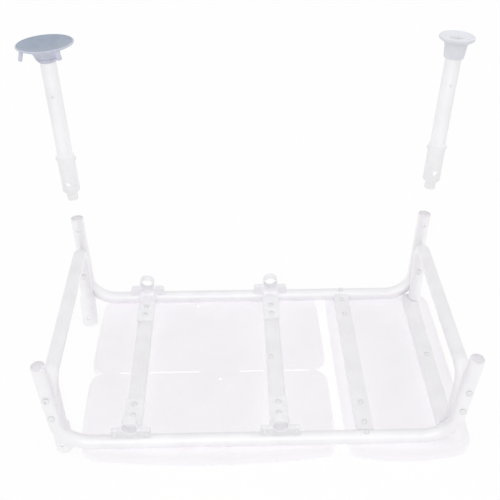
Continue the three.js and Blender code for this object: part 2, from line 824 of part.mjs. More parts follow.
// Foot plate on the crossbar, wall over the rail, and a gusset between them,
// hollowed below to sit on the rail and above to clear the ring.
function bracketFoot(x, signY) {
  const plateBottom = barTop + joinGap;
  const plateLength = wallMiddleY - footPlateStart;
  const plateMiddle = plateBottom + footPlateThickness / 2;
  const plateCentre = vec(x, signY * (footPlateStart + plateLength / 2), plateMiddle);
  const plate = solidOf(block(footPlateWidth, plateLength, footPlateThickness, plateCentre));
  const wall = standingPlate(x, signY, wallMiddleY - wallThickness / 2, wallThickness, wallBottom);
  const profile = new THREE.Shape();
  const plateTop = plateBottom + footPlateThickness / 2;
  profile.moveTo(-gussetRun, plateTop);
  profile.lineTo(0, plateTop);
  profile.lineTo(0, wallTop - wallCornerRadius);
  profile.closePath();
  const gussets = signs.map((side) => {
    const rib = new THREE.ExtrudeGeometry(profile, { depth: gussetThickness, bevelEnabled: false });
    rib.rotateX(Math.PI / 2);
    rib.rotateZ(signY > 0 ? Math.PI / 2 : -Math.PI / 2);
    rib.computeBoundingBox();
    const reach = (rib.boundingBox.max.x + rib.boundingBox.min.x) / 2;
    const ribX = x + side * (footPlateWidth - gussetThickness) / 2 - reach;
    return solidOf(rib.translate(ribX, signY * wallMiddleY, 0));
  });
  const ringSpace = rod(ringOuterRadius + joinGap, -gussetRun * 2, gussetRun * 2, roundSides);
  const ringCut = solidOf(placed(ringSpace, vec(x, signY * wallMiddleY, ringHeight), vec(0, 1, 0)));
  const tools = [railSpace(signY, joinGap), ringCut, ...wallStudHoles(x, signY), ...seatFastenerHoles()];
  return cut(joined([plate, wall, ...gussets]), tools);
}

function bracketRing(x, signY) {
  const plate = standingPlate(x, signY, plateInnerY, ringPlateThickness, railAxisHeight);
  const inside = ringLength * ringPlateShareInside;
  const outside = ringLength - inside;
  const ring = turned([
    [ringBoreRadius, -inside],
    [ringOuterRadius, -inside],
    [ringOuterRadius, outside - ringLipRadius],
    [ringOuterRadius - ringLipRadius, outside],
    [ringBoreRadius, outside],
  ], roundSides);
  const centre = vec(x, signY * plateInnerY, ringHeight);
  const collar = solidOf(placed(ring, centre, vec(0, signY, 0)));
  const bore = rod(ringBoreRadius, -ringLength, ringLength, roundSides);
  const tools = [
    railSpace(signY, joinGap),
    solidOf(placed(bore, centre, vec(0, signY, 0))),
  ];
  return cut(joined([plate, collar, ...wallStuds(x, signY)]), tools);
}

const footBoltTop = barTop + footPlateThickness + joinGap * 2;

function footBolt() {
  const length = footBoltTop - (underside - seatScrewBite);
  return domedHead(footBoltRadius, footBoltHeadRadius, footBoltHeadHeight, length);
}

// Legs
// Each leg piece is turned about Z with zero at the sleeve's open end, and one
// group stands it on its socket's axis.
function sideHole(along, radius, start, end) {
  const tool = rod(radius, start, end, openHoleSides);
  return solidOf(placed(tool, vec(0, 0, along), vec(0, 1, 0)));
}

// The rivet runs square to the button.
function rivetHole() {
  const tool = rod(rivetRadius + joinGap, -sleeveRadius * 2, sleeveRadius * 2, openHoleSides);
  return solidOf(placed(tool, vec(0, 0, rivetAlong), vec(1, 0, 0), vec(0, 1, 0)));
}

const shoulderRadius = legTubeRadius - legTubeWall - plugShoulderFit;

function legTube() {
  const start = sleeveShoulder + joinGap;
  const tube = turned([
    [legTubeRadius - legTubeWall, start],
    [legTubeRadius, start],
    [legTubeRadius, legTubeEnd],
    [legTubeRadius - legTubeWall, legTubeEnd],
  ]);
  const gaugeHole = sideHole(gaugeHoleAlong, gaugeHoleRadius, 0, sleeveRadius);
  return cut(solidOf(tube), [rivetHole(), gaugeHole]);
}

function legSleeve() {
  const upperBore = legTubeRadius + joinGap;
  const sleeve = turned([
    [sleeveBoreRadius + sleeveRimRound, 0],
    [sleeveRadius - sleeveRimRound, 0],
    [sleeveRadius, sleeveRimRound],
    [sleeveRadius, sleeveLength - sleeveRimRound],
    [sleeveRadius - sleeveRimRound / 2, sleeveLength],
    [upperBore, sleeveLength],
    [upperBore, sleeveShoulder],
    [sleeveBoreRadius, sleeveShoulder],
    [sleeveBoreRadius, sleeveRimRound],
  ]);
  return cut(solidOf(sleeve), [
    sideHole(sleeveHoleAlong, lockHoleRadius, 0, sleeveRadius * 2),
    rivetHole(),
  ]);
}

// The plug is slim where it enters the socket and steps out to fill the leg tube.
function legPlug() {
  const bore = plugRadius - plugWall;
  const top = sleeveLength;
  const step = sleeveShoulder + joinGap;
  const plug = turned([
    [bore, -plugReach],
    [plugRadius - plugWall / 2, -plugReach],
    [plugRadius, plugWall / 2 - plugReach],
    [plugRadius, step],
    [shoulderRadius, step],
    [shoulderRadius, top],
    [bore, top],
  ]);
  return cut(solidOf(plug), [
    sideHole(sleeveHoleAlong, buttonHoleRadius, 0, sleeveRadius * 2),
    rivetHole(),
  ]);
}

function legRivet() {
  const reach = sleeveRadius + joinGap;
  const rivet = turned([
    [0, -reach - rivetHeadHeight],
    [rivetHeadRadius * headCrownShare, -reach - rivetHeadHeight],
    [rivetHeadRadius, -reach - rivetHeadHeight * rivetRimShare],
    [rivetHeadRadius, -reach],
    [rivetRadius, -reach],
    [rivetRadius, reach],
    [rivetHeadRadius, reach],
    [rivetHeadRadius, reach + rivetHeadHeight * rivetRimShare],
    [rivetHeadRadius * headCrownShare, reach + rivetHeadHeight],
    [0, reach + rivetHeadHeight],
  ], boltSides);
  return solidOf(placed(rivet, vec(0, 0, rivetAlong), vec(1, 0, 0), vec(0, 1, 0)));
}

const buttonTip = plugRadius - buttonPressedBelow;
const buttonTravel = sleeveRadius + buttonProud - buttonTip;
const plugBoreFlat = (plugRadius - plugWall) * Math.cos(Math.PI / roundSides);
const flangeStop = Math.sqrt(plugBoreFlat ** 2 - buttonFlangeRadius ** 2) - joinGap;
const buttonRoot = flangeStop - buttonFlangeThickness - buttonTravel;

// The button as it stands while the leg is pushed on: pressed in, below the plug.
function snapButton() {
  const crown = buttonRadius * buttonCrownShare;
  const button = turned([
    [0, buttonRoot],
    [buttonFlangeRadius, buttonRoot],
    [buttonFlangeRadius, buttonRoot + buttonFlangeThickness],
    [buttonRadius, buttonRoot + buttonFlangeThickness],
    [buttonRadius, buttonTip - crown],
    [buttonRadius * buttonFlatShare, buttonTip],
    [0, buttonTip],
  ], openHoleSides);
  return solidOf(placed(button, vec(0, 0, sleeveHoleAlong), vec(0, 1, 0)));
}

// A strip folded back on itself: one arm under the button, one on the far wall.
function leafSpring() {
  const top = buttonRoot - joinGap;
  const foldRadius = springFoldRadius;
  const strip = new THREE.Shape();
  const start = sleeveHoleAlong - buttonFlangeRadius;
  const end = start + springLength;
  strip.moveTo(start, top);
  strip.lineTo(end, top);
  strip.absarc(end, top - foldRadius, foldRadius, Math.PI / 2, -Math.PI / 2, true);
  strip.lineTo(start, top - foldRadius * 2);
  strip.lineTo(start, top - foldRadius * 2 + springThickness);
  strip.lineTo(end, top - foldRadius * 2 + springThickness);
  strip.absarc(end, top - foldRadius, foldRadius - springThickness, -Math.PI / 2, Math.PI / 2, false);
  strip.lineTo(start, top - springThickness);
  strip.closePath();
  const spring = extruded(strip, springWidth, edgeSteps);
  spring.translate(0, 0, -springWidth / 2);
  const turn = new THREE.Matrix4().makeBasis(vec(0, 0, 1), vec(0, 1, 0), vec(-1, 0, 0));
  return solidOf(spring.applyMatrix4(turn));
}

function suctionCollar() {
  const bore = legTubeRadius + joinGap;
  const top = collarLowAlong + collarLength;
  const swell = collarHighRadius - collarLowRadius;
  const [swellShare, lengthShare] = collarFlareShares;
  return solidOf(turned([
    [bore, collarLowAlong],
    [collarLowRadius, collarLowAlong],
    [collarLowRadius + swell * swellShare, collarLowAlong + collarLength * lengthShare],
    [collarHighRadius, top - collarLength * collarRimShare],
    [collarHighRadius, top],
    [bore, top],
  ]));
}

// A bell of rubber: stem over the tube's end, thin skirt, and a dished face
// that grips the bath. Two tabs at its rim break the suction.
function suctionCup() {
  const bore = legTubeRadius + joinGap;
  const low = collarLowAlong + collarLength + joinGap;
  const socketEnd = legTubeEnd + joinGap;
  const face = suctionFaceAlong;
  const radius = suctionDiscRadius;
  const [skirtRadiusShare, skirtDepthShare] = skirtShares;
  const dish = dishShares.map(([out, down]) => [radius * out, face - suctionDish * down]);
  const cup = turned([
    [bore, low],
    [suctionStemRadius, low],
    [suctionStemRadius + suctionSkirtSwell, face - suctionSkirtDepth],
    [radius * skirtRadiusShare, face - suctionSkirtDepth * skirtDepthShare],
    [radius, face - suctionRimThickness],
    [radius, face - suctionRimThickness * rimEdgeShare],
    [radius * rimFaceShare, face],
    ...dish,
    [0, face - suctionDish],
    [0, socketEnd],
    [bore, socketEnd],
  ], discSides);
  const tabs = tabAngles.map((degrees) => {
    const outline = roundedRectangle(tabWidth, tabLength + tabReach, tabWidth * tabCornerShare);
    const tab = extruded(outline, tabThickness, cornerSteps);
    tab.rotateX(Math.PI / 2);
    tab.rotateX(tabLean);
    tab.translate(0, radius + tabThickness * tabSeatShare, face - (tabLength + tabReach) / 2);
    tab.rotateZ(degrees * Math.PI / 180 - Math.PI / 2);
    return solidOf(tab);
  });
  return joined([solidOf(cup), ...tabs]);
}

// A flared tip: tapering collar, round neck, wide foot with a dished face and
// a steel washer let into it.
function rubberTip() {
  const bore = legTubeRadius + joinGap;
  const socketEnd = legTubeEnd + joinGap;
  const face = tipFaceAlong;
  const washerSeat = washerRadius + joinGap;
  const washerFloor = face - tipDish - washerThickness;
  const [shoulderInShare, shoulderDownShare] = tipShoulderShares;
  return solidOf(turned([
    [bore, tipCollarAlong],
    [tipCollarRadius, tipCollarAlong],
    [tipNeckRadius, tipCollarAlong + (face - tipCollarAlong) * tipNeckShare],
    [tipFlareRadius - tipRimThickness * shoulderInShare, face - tipRimThickness * shoulderDownShare],
    [tipFlareRadius, face - tipRimThickness],
    [tipFlareRadius, face - tipRimThickness * tipEdgeShare],
    [tipFlareRadius - tipRimThickness, face],
    [washerSeat, face - tipDish],
    [washerSeat, washerFloor],
    [0, washerFloor],
    [0, socketEnd],
    [bore, socketEnd],
  ], roundSides));
}

function tipWasher() {
  const base = tipFaceAlong - tipDish - washerThickness + joinGap;
  const top = base + washerThickness;
  return solidOf(turned([
    [washerBoreRadius, base],
    [washerRadius, base],
    [washerRadius, top],
    [washerBoreRadius, top],
  ], roundSides));
}

// Assembly
const bench = new THREE.Group();
bench.name = 'bath_transfer_bench';

function addGeometry(group, name, geometry, material) {
  const mesh = new THREE.Mesh(geometry, material);
  mesh.name = name;
  group.add(mesh);
  return mesh;
}

function addPiece(group, name, solid, material) {
  return addGeometry(group, name, geometryOf(solid), material);
}

addPiece(bench, 'large_seat_panel', largeSeatPanel(), seatPlastic);
addPiece(bench, 'small_seat_panel', smallSeatPanel(), seatPlastic);
addPiece(bench, 'near_rail', rail(-1), anodised);
addPiece(bench, 'far_rail', rail(1), anodised);
addPiece(bench, 'left_end_frame', endFrame(-1, armSocketFloorGap, true), anodised);
addPiece(bench, 'right_end_frame', endFrame(1, underside + joinGap, false), anodised);
addPiece(bench, 'left_bracket_crossbar', bracketBar(bracketBarPlaces[0]), anodised);
addPiece(bench, 'right_bracket_crossbar', bracketBar(bracketBarPlaces[1]), anodised);
addPiece(bench, 'middle_crossbar', middleBar(), anodised);
addPiece(bench, 'end_crossbar', endBar(), anodised);

seatScrewPlaces.forEach(([name, x, y, top]) => {
  const screw = addGeometry(bench, name, seatScrew(top), brightSteel);
  screw.position.set(x, y, top + joinGap);
});

// Corners are named as they lie: near or far from the front, left or right.
const cornerNames = { near: ['near_left', 'near_right'], far: ['far_left', 'far_right'] };
const frameFasteners = [
  ['lower_frame_bolt', frameBoltRise, frameBolt()],
  ['upper_frame_bolt', frameScrewRise, frameScrew()],
];
const footBoltGeometry = footBolt();

signs.forEach((signY) => signs.forEach((signX, column) => {
  const corner = cornerNames[signY < 0 ? 'near' : 'far'][column];
  frameFasteners.forEach(([kind, rise, geometry]) => {
    const bolt = addGeometry(bench, `${corner}_${kind}`, geometry, brightSteel);
    bolt.position.copy(frameBoltSeat(signX, signY, rise));
    bolt.quaternion.setFromUnitVectors(vec(0, 0, 1), outward(signY));
  });

  const x = bracketBarPlaces[column];
  addPiece(bench, `${corner}_bracket_foot`, bracketFoot(x, signY), castPlastic);
  addPiece(bench, `${corner}_bracket_ring`, bracketRing(x, signY), castPlastic);
  footBoltRows.forEach((row, i) => {
    const place = i === 0 ? 'inner' : 'outer';
    const bolt = addGeometry(bench, `${corner}_${place}_foot_bolt`, footBoltGeometry, brightSteel);
    bolt.position.set(x, signY * row, footBoltTop);
  });
}));

function addLeg(side, signX, gap) {
  const leg = new THREE.Group();
  leg.name = `${side}_leg`;
  const direction = socketDirection(signX, 1);
  const buttonWay = inward(signX, 1);
  const across = new THREE.Vector3().crossVectors(buttonWay, direction);
  const turn = new THREE.Matrix4().makeBasis(across, buttonWay, direction);
  leg.quaternion.setFromRotationMatrix(turn);
  leg.position.copy(socketPoint(signX, 1, socketRise)).addScaledVector(direction, gap);
  bench.add(leg);
  addPiece(leg, `${side}_leg_tube`, legTube(), anodised);
  addPiece(leg, `${side}_leg_sleeve`, legSleeve(), sleevePlastic);
  addPiece(leg, `${side}_leg_plug`, legPlug(), sleevePlastic);
  addPiece(leg, `${side}_leg_rivet`, legRivet(), brightSteel);
  addPiece(leg, `${side}_snap_button`, snapButton(), brightSteel);
  addPiece(leg, `${side}_button_spring`, leafSpring(), springSteel);
  return leg;
}

const leftLeg = addLeg('left', -1, leftLegGap);
addPiece(leftLeg, 'suction_foot_collar', suctionCollar(), suctionRubber);
addPiece(leftLeg, 'suction_foot_cup', suctionCup(), suctionRubber);
const rightLeg = addLeg('right', 1, rightLegGap);
addPiece(rightLeg, 'rubber_tip', rubberTip(), tipRubber);
addPiece(rightLeg, 'tip_washer', tipWasher(), brightSteel);

export default bench;
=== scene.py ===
import math
import bpy
import bmesh
from mathutils import Matrix, Vector


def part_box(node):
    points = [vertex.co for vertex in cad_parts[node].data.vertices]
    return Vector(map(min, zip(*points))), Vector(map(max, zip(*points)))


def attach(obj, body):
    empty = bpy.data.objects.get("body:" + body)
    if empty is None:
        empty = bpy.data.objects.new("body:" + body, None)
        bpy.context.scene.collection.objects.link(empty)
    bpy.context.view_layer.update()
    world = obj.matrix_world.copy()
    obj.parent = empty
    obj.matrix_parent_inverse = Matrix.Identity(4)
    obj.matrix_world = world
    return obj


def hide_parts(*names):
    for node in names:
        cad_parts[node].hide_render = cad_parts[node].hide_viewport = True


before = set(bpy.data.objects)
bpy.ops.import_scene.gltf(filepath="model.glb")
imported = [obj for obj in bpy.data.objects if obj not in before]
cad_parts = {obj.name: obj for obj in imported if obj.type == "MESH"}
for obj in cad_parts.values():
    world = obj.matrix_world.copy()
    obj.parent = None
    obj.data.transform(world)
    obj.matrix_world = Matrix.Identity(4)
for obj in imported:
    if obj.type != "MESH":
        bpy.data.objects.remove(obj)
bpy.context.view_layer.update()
mm = 0.001
clearance = 0.3 * mm    # air between neighbouring parts
weldDistance = 1e-6


# Camera: fitted to the rails, sockets and legs of the photograph
cameraView = {
    "place": (-0.0375, -1.0918, 1.0995),
    "downTilt": 36.249,   # degrees below level
    "swing": -1.524,      # degrees round the upright axis
    "roll": -0.087,
    "lens": 57.6,         # mm, on film of the next width
    "filmWidth": 36,
    "farLimit": 50,       # metres
}


def makeCamera(values):
    tilt = math.radians(values["downTilt"])
    swing = Matrix.Rotation(math.radians(values["swing"]), 3, "Z")
    right = swing @ Vector((1, 0, 0))
    forward = swing @ Vector((0, math.cos(tilt), -math.sin(tilt)))
    down = swing @ Vector((0, -math.sin(tilt), -math.cos(tilt)))
    roll = math.radians(values["roll"])
    rightRolled = right * math.cos(roll) + down * math.sin(roll)
    downRolled = down * math.cos(roll) - right * math.sin(roll)
    data = bpy.data.cameras.new("photoCamera")
    data.lens = values["lens"]
    data.sensor_width = values["filmWidth"]
    data.clip_end = values["farLimit"]
    camera = bpy.data.objects.new("photoCamera", data)
    turn = Matrix((rightRolled, -downRolled, -forward)).transposed()
    camera.matrix_world = Matrix.Translation(values["place"]) @ turn.to_4x4()
    bpy.context.collection.objects.link(camera)
    bpy.context.scene.camera = camera


makeCamera(cameraView)
print("camera set")


# Materials
def linearColour(hexCode):
    channels = [int(hexCode[i:i + 2], 16) / 255 for i in (1, 3, 5)]
    linear = [c / 12.92 if c <= 0.04045 else ((c + 0.055) / 1.055) ** 2.4 for c in channels]
    return (*linear, 1)


def addNode(tree, kind, settings=None, links=None):
    node = tree.nodes.new("ShaderNode" + kind)
    for key, value in (settings or {}).items():
        if isinstance(key, int) or key in node.inputs:
            node.inputs[key].default_value = value
        else:
            setattr(node, key, value)
    for key, source in (links or {}).items():
        tree.links.new(source, node.inputs[key])
    return node


def newFinish(name, shader):
    material = bpy.data.materials.new(name)
    material.use_nodes = True
    tree = material.node_tree
    tree.nodes.clear()
    surface = addNode(tree, "BsdfPrincipled", shader)
    addNode(tree, "OutputMaterial", links={"Surface": surface.outputs["BSDF"]})
    place = addNode(tree, "TexCoord").outputs["Object"]
    return material, tree, surface, place


def addCloud(tree, surface, place, size, detail, shares, values):
    # colour that drifts from shade to base between two shares of a slow noise
    cloud = addNode(tree, "TexNoise", {"Scale": 1 / size, "Detail": detail}, {"Vector": place})
    tone = addNode(tree, "ValToRGB", links={"Fac": cloud.outputs["Fac"]})
    for stop, share, hexCode in zip(tone.color_ramp.elements, shares, (values["shade"], values["base"])):
        stop.position = share
        stop.color = linearColour(hexCode)
    tree.links.new(tone.outputs["Color"], surface.inputs["Base Color"])
    return cloud.outputs["Fac"]


def addUnevenGloss(tree, surface, cloud, values):
    rough = addNode(tree, "MapRange", {
        "To Min": values["roughLow"], "To Max": values["roughHigh"]}, {"Value": cloud})
    tree.links.new(rough.outputs["Result"], surface.inputs["Roughness"])


def addGrain(tree, surface, place, size, detail, strength, depth):
    grain = addNode(tree, "TexNoise", {"Scale": 1 / size, "Detail": detail}, {"Vector": place})
    bump = addNode(tree, "Bump", {"Strength": strength, "Distance": depth}, {"Height": grain.outputs["Fac"]})
    tree.links.new(bump.outputs["Normal"], surface.inputs["Normal"])


def addPaintedBounceGlow(tree, surface, hexCode, paintedGlow):
    # painted glow: spots hidden by nearby faces glow, lifting their shade, in place of light handed on
    # between pale faces more often than a ray is followed
    hidden = addNode(tree, "AmbientOcclusion", {
        "Distance": paintedGlow["reach"], "samples": 8, "only_local": paintedGlow["ownFacesOnly"]})
    given = {"From Max": paintedGlow["clearAt"], "To Min": paintedGlow["glow"], "To Max": 0.0}
    amount = addNode(tree, "MapRange", given, {"Value": hidden.outputs["AO"]})
    surface.inputs["Emission Color"].default_value = linearColour(hexCode)
    tree.links.new(amount.outputs["Result"], surface.inputs["Emission Strength"])


# painted glow that lightens hidden spots: reach is how far a spot looks for other faces, glow what a wholly
# hidden one gets, and clearAt how free of them a spot has to be to get nothing
tubePaintedGlow = {"reach": 30 * mm, "glow": 0.24, "clearAt": 0.6, "ownFacesOnly": True}
panelPaintedGlow = {"reach": 150 * mm, "glow": 0.35, "clearAt": 1.0, "ownFacesOnly": False}
plasticPaintedGlow = {"reach": 16 * mm, "glow": 0.3, "clearAt": 0.7, "ownFacesOnly": False}
steelPaintedGlow = {"reach": 10 * mm, "glow": 0.18, "clearAt": 0.8, "ownFacesOnly": False}

aluminiumLook = {
    "base": "#f8f7f9",
    "shade": "#f3f2f4",
    "satinGrain": 1.1 * mm,    # etched grain is finer; drawn this coarse so that it shows
    "handlingPatch": 45 * mm,
    "roughLow": 0.42,
    "roughHigh": 0.54,
}
legLook = {"base": "#fefdff", "shade": "#faf9fb"}    # paler than the frame, to match the photographed legs


def anodisedAluminium(name, values):
    # drawn tube, etched and clear anodised: soft broad reflections, faint cloudiness
    material, tree, surface, place = newFinish(name, {"Metallic": 0.85})
    cloud = addCloud(tree, surface, place, values["handlingPatch"], 3.0, (0.3, 0.65), values)
    addUnevenGloss(tree, surface, cloud, values)
    addGrain(tree, surface, place, values["satinGrain"], 2.0, 0.05, 0.1 * mm)
    # painted glow lightens the bores and other spots that the tube's own faces hide
    addPaintedBounceGlow(tree, surface, values["base"], tubePaintedGlow)
    return material


seatLook = {
    "base": "#f4f2f5",
    "shade": "#f2f0f3",
    "pebble": 2.2 * mm,
    "pebbleDepth": 0.25 * mm,
    "swell": 70 * mm,
    "swellDepth": 1.2 * mm,
    "roughness": 0.42,
    "specular": 0.25,
}


def blowMouldedPolyethylene(values):
    # sprayed-pebble mould texture over slightly wavy walls, waxy and low in gloss
    material, tree, surface, place = newFinish("blowMouldedPolyethylene", {
        "Roughness": values["roughness"], "IOR": 1.5, "Specular IOR Level": values["specular"],
        "Subsurface Weight": 0.04, "Subsurface Scale": 2 * mm})
    swell = addCloud(tree, surface, place, values["swell"], 2.0, (0.35, 0.6), values)
    pebble = addNode(tree, "TexVoronoi", {
        "Scale": 1 / values["pebble"], "feature": "SMOOTH_F1"}, {"Vector": place})
    fine = addNode(tree, "Bump", {
        "Strength": 0.12, "Distance": values["pebbleDepth"]}, {"Height": pebble.outputs["Distance"]})
    wave = addNode(tree, "Bump", {"Strength": 0.25, "Distance": values["swellDepth"]},
                   {"Height": swell, "Normal": fine.outputs["Normal"]})
    tree.links.new(wave.outputs["Normal"], surface.inputs["Normal"])
    # painted glow lightens the seat where nearby parts shade it
    addPaintedBounceGlow(tree, surface, values["base"], panelPaintedGlow)
    return material


bracketLook = {
    "base": "#f4f3f6", "shade": "#eeedf0", "roughness": 0.45, "ior": 1.53, "flow": 12 * mm, "grain": 0.9 * mm}
# painted highlight for the rings' front edges
ringHighlightLook = {**bracketLook, "base": "#fcfcfd", "shade": "#f8f8fa", "roughness": 0.4}
couplerLook = {
    "base": "#f9f8f9", "shade": "#f5f4f6", "roughness": 0.35, "ior": 1.49, "flow": 20 * mm, "grain": 1.2 * mm}


def mouldedPlastic(name, values):
    # injection moulded, lightly grained by the tool, with soft gloss
    material, tree, surface, place = newFinish(name, {"Roughness": values["roughness"], "IOR": values["ior"]})
    addCloud(tree, surface, place, values["flow"], 3.0, (0.35, 0.65), values)
    addGrain(tree, surface, place, values["grain"], 3.0, 0.08, 0.15 * mm)
    # painted glow lightens spots that nearby faces hide
    addPaintedBounceGlow(tree, surface, values["base"], plasticPaintedGlow)
    return material


vinylGrain = 0.8 * mm
paleVinylLook = {"base": "#d0d3e2", "shade": "#c3c6d7", "roughness": 0.45, "bloom": 10 * mm}
suctionLook = {"base": "#9ba7b8", "shade": "#8f9bad", "roughness": 0.42, "bloom": 14 * mm}
tipLook = {"base": "#e7e9ee", "shade": "#e1e3e9", "roughness": 0.5, "bloom": 14 * mm}


def softRubber(name, values):
    # soft moulded vinyl: silky, with a faint bloom that comes and goes
    material, tree, surface, place = newFinish(name, {
        "Roughness": values["roughness"], "IOR": 1.53, "Sheen Weight": 0.15, "Sheen Roughness": 0.5})
    addCloud(tree, surface, place, values["bloom"], 4.0, (0.3, 0.7), values)
    addGrain(tree, surface, place, vinylGrain, 2.0, 0.12, 0.2 * mm)
    return material


steelLook = {"base": "#f2f2f3", "shade": "#e4e4e6", "mottle": 2.5 * mm, "roughLow": 0.3, "roughHigh": 0.45}
springLook = {"base": "#a8a9ad", "shade": "#8e8f94", "mottle": 4 * mm, "roughLow": 0.25, "roughHigh": 0.4}


def platedSteel(name, values):
    # bright zinc plate on a headed part: sharp small highlights, faint mottling
    material, tree, surface, place = newFinish(name, {"Metallic": 1.0})
    mottle = addCloud(tree, surface, place, values["mottle"], 3.0, (0.35, 0.65), values)
    addUnevenGloss(tree, surface, mottle, values)
    # painted glow lightens spots that nearby faces hide
    addPaintedBounceGlow(tree, surface, values["base"], steelPaintedGlow)
    return material


aluminium = anodisedAluminium("anodisedAluminium", aluminiumLook)
legAluminium = anodisedAluminium("anodisedAluminiumPale", {**aluminiumLook, **legLook})
polyethylene = blowMouldedPolyethylene(seatLook)
nylon = mouldedPlastic("glassFilledNylon", bracketLook)
ringHighlightNylon = mouldedPlastic("glassFilledNylonPaintedHighlight", ringHighlightLook)
polypropylene = mouldedPlastic("mouldedPolypropylene", couplerLook)
suctionRubber = softRubber("softVinylSuctionCup", suctionLook)
paleVinyl = softRubber("softVinylPale", paleVinylLook)
tipRubber = softRubber("softVinylTip", tipLook)
steel = platedSteel("zincPlatedSteel", steelLook)
springSteel = platedSteel("blueFreeSpringSteel", springLook)
print("materials made")


# Making and finishing pieces
def newPiece(name, body, material, replaced, mesh):
    piece = bpy.data.objects.new(name, mesh)
    bpy.context.collection.objects.link(piece)
    piece.data.materials.clear()
    piece.data.materials.append(material)
    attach(piece, body)
    if replaced:
        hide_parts(*replaced)
    return piece


def meshFrom(bm, name):
    mesh = bpy.data.meshes.new(name)
    bm.to_mesh(mesh)
    bm.free()
    return mesh


def smoothMesh(mesh, sharpAngle=34):
    for face in mesh.polygons:
        face.use_smooth = True
    mesh.set_sharp_from_angle(angle=math.radians(sharpAngle))
    return mesh


def applied(thing):
    # a mesh with the curve's shape or the modifiers worked in
    graph = bpy.context.evaluated_depsgraph_get()
    return bpy.data.meshes.new_from_object(thing.evaluated_get(graph))


def looseObject(mesh, name):
    thing = bpy.data.objects.new(name, mesh)
    bpy.context.collection.objects.link(thing)
    return thing


def cutMesh(mesh, cutters):
    # mesh with every cutter's mesh taken away
    target = looseObject(mesh, "cutTarget")
    tools = []
    for cutter in cutters:
        tool = looseObject(cutter, "cutTool")
        modifier = target.modifiers.new("cut", "BOOLEAN")
        modifier.operation = "DIFFERENCE"
        modifier.solver = "EXACT"
        modifier.object = tool
        tools.append(tool)
    result = applied(target)
    for thing in [target, *tools]:
        bpy.data.objects.remove(thing)
    return result


def softEdges(piece, width, segments=2, angle=30):
    bevel = piece.modifiers.new("softEdges", "BEVEL")
    bevel.width = width
    bevel.segments = segments
    bevel.limit_method = "ANGLE"
    bevel.angle_limit = math.radians(angle)


def along(direction, place=(0, 0, 0), hint=(1, 0, 0)):
    # matrix whose Z runs along a direction, with X near a hint
    zAxis = Vector(direction).normalized()
    yAxis = zAxis.cross(Vector(hint)).normalized()
    xAxis = yAxis.cross(zAxis)
    turn = Matrix((xAxis, yAxis, zAxis)).transposed()
    return Matrix.Translation(place) @ turn.to_4x4()


def turnedMesh(name, profile, steps=64, matrix=None):
    # revolve of (radius, height) points about Z; the profile closes on itself or on the axis
    bm = bmesh.new()
    verts = [bm.verts.new((radius, 0, height)) for radius, height in profile]
    edges = [bm.edges.new(pair) for pair in zip(verts, verts[1:])]
    if profile[0][0] > 0 or profile[-1][0] > 0:
        edges.append(bm.edges.new((verts[-1], verts[0])))
    bmesh.ops.spin(bm, geom=verts + edges, axis=(0, 0, 1), cent=(0, 0, 0), angle=2 * math.pi, steps=steps,
                   use_merge=True)
    bmesh.ops.remove_doubles(bm, verts=bm.verts, dist=weldDistance)
    bmesh.ops.recalc_face_normals(bm, faces=bm.faces)
    if matrix:
        bmesh.ops.transform(bm, matrix=matrix, verts=bm.verts)
    return smoothMesh(meshFrom(bm, name))


def rodMesh(radius, start, end, matrix, steps=32):
    return turnedMesh("rod", [(0, start), (radius, start), (radius, end), (0, end)], steps, matrix)


def blockMesh(name, size, place, bevel=0, segments=3, edgePick=None):
    bm = bmesh.new()
    bmesh.ops.create_cube(bm, size=1, matrix=Matrix.Translation(place) @ Matrix.Diagonal((*size, 1)))
    if bevel:
        picked = [edge for edge in bm.edges if edgePick is None or edgePick(edge)]
        bmesh.ops.bevel(bm, geom=picked, offset=bevel, segments=segments, affect="EDGES", profile=0.5,
                        material=-1)
    return smoothMesh(meshFrom(bm, name))


def runAcross(edge):
    # how far an edge reaches from front to back
    return abs((edge.verts[0].co - edge.verts[1].co).y)


def joinedMesh(name, meshes):
    bm = bmesh.new()
    for mesh in meshes:
        bm.from_mesh(mesh)
    return smoothMesh(meshFrom(bm, name))


# Frame: rails and end frames of bent tube
frameTube = {
    "radius": 12 * mm,
    "wall": 1.3 * mm,
    "railHeight": 42.3 * mm,
    "railHalfSpacing": 190 * mm,
    "socketHalfSpacing": 330 * mm,
    "leanAlong": 0.045,
    "leanAcross": 0.068,
    "socketRise": 190 * mm,
    "railBend": 55 * mm,
    "endFrameRise": 135 * mm,
    "endFrameBend": 26 * mm,
    "leftTailHeight": 2 * mm,
    "rightTailHeight": 30.3 * mm,
    "lockHoleBelowEnd": 22 * mm,
    "lockHoleRadius": 3.9 * mm,
    "armSocketRadius": 15.5 * mm,
    "armSocketLength": 58 * mm,
    "armSocketTaper": 8 * mm,
    "pinHoleHeight": 23 * mm,
    "pinHoleRadius": 4 * mm,
    "boltRise": 77 * mm,
    "screwRise": 122 * mm,
    "levelCut": 2 * mm,         # how far a tail is drawn past its end before it is cut level
    "sides": 40,
    "bendSteps": 14,
}


def socketPoint(signX, signY, rise, values=frameTube):
    return Vector((
        signX * (values["socketHalfSpacing"] + values["leanAlong"] * rise),
        signY * (values["railHalfSpacing"] + values["leanAcross"] * rise),
        values["railHeight"] + rise,
    ))


def socketDirection(signX, signY, values=frameTube):
    return Vector((signX * values["leanAlong"], signY * values["leanAcross"], 1)).normalized()


def inward(signX, signY):
    direction = socketDirection(signX, signY)
    side = Vector((0, -signY, 0))
    return (side - direction * side.dot(direction)).normalized()


def outward(signY, values=frameTube):
    return Vector((0, signY, -values["leanAcross"])).normalized()


def endFrameX(signX, values=frameTube):
    return signX * (values["socketHalfSpacing"] + values["leanAlong"] * values["boltRise"])


def endFrameY(signY, rise, values=frameTube):
    offset = (values["radius"] * 2 + clearance) * math.hypot(1, values["leanAcross"])
    return signY * (values["railHalfSpacing"] + values["leanAcross"] * rise - offset)


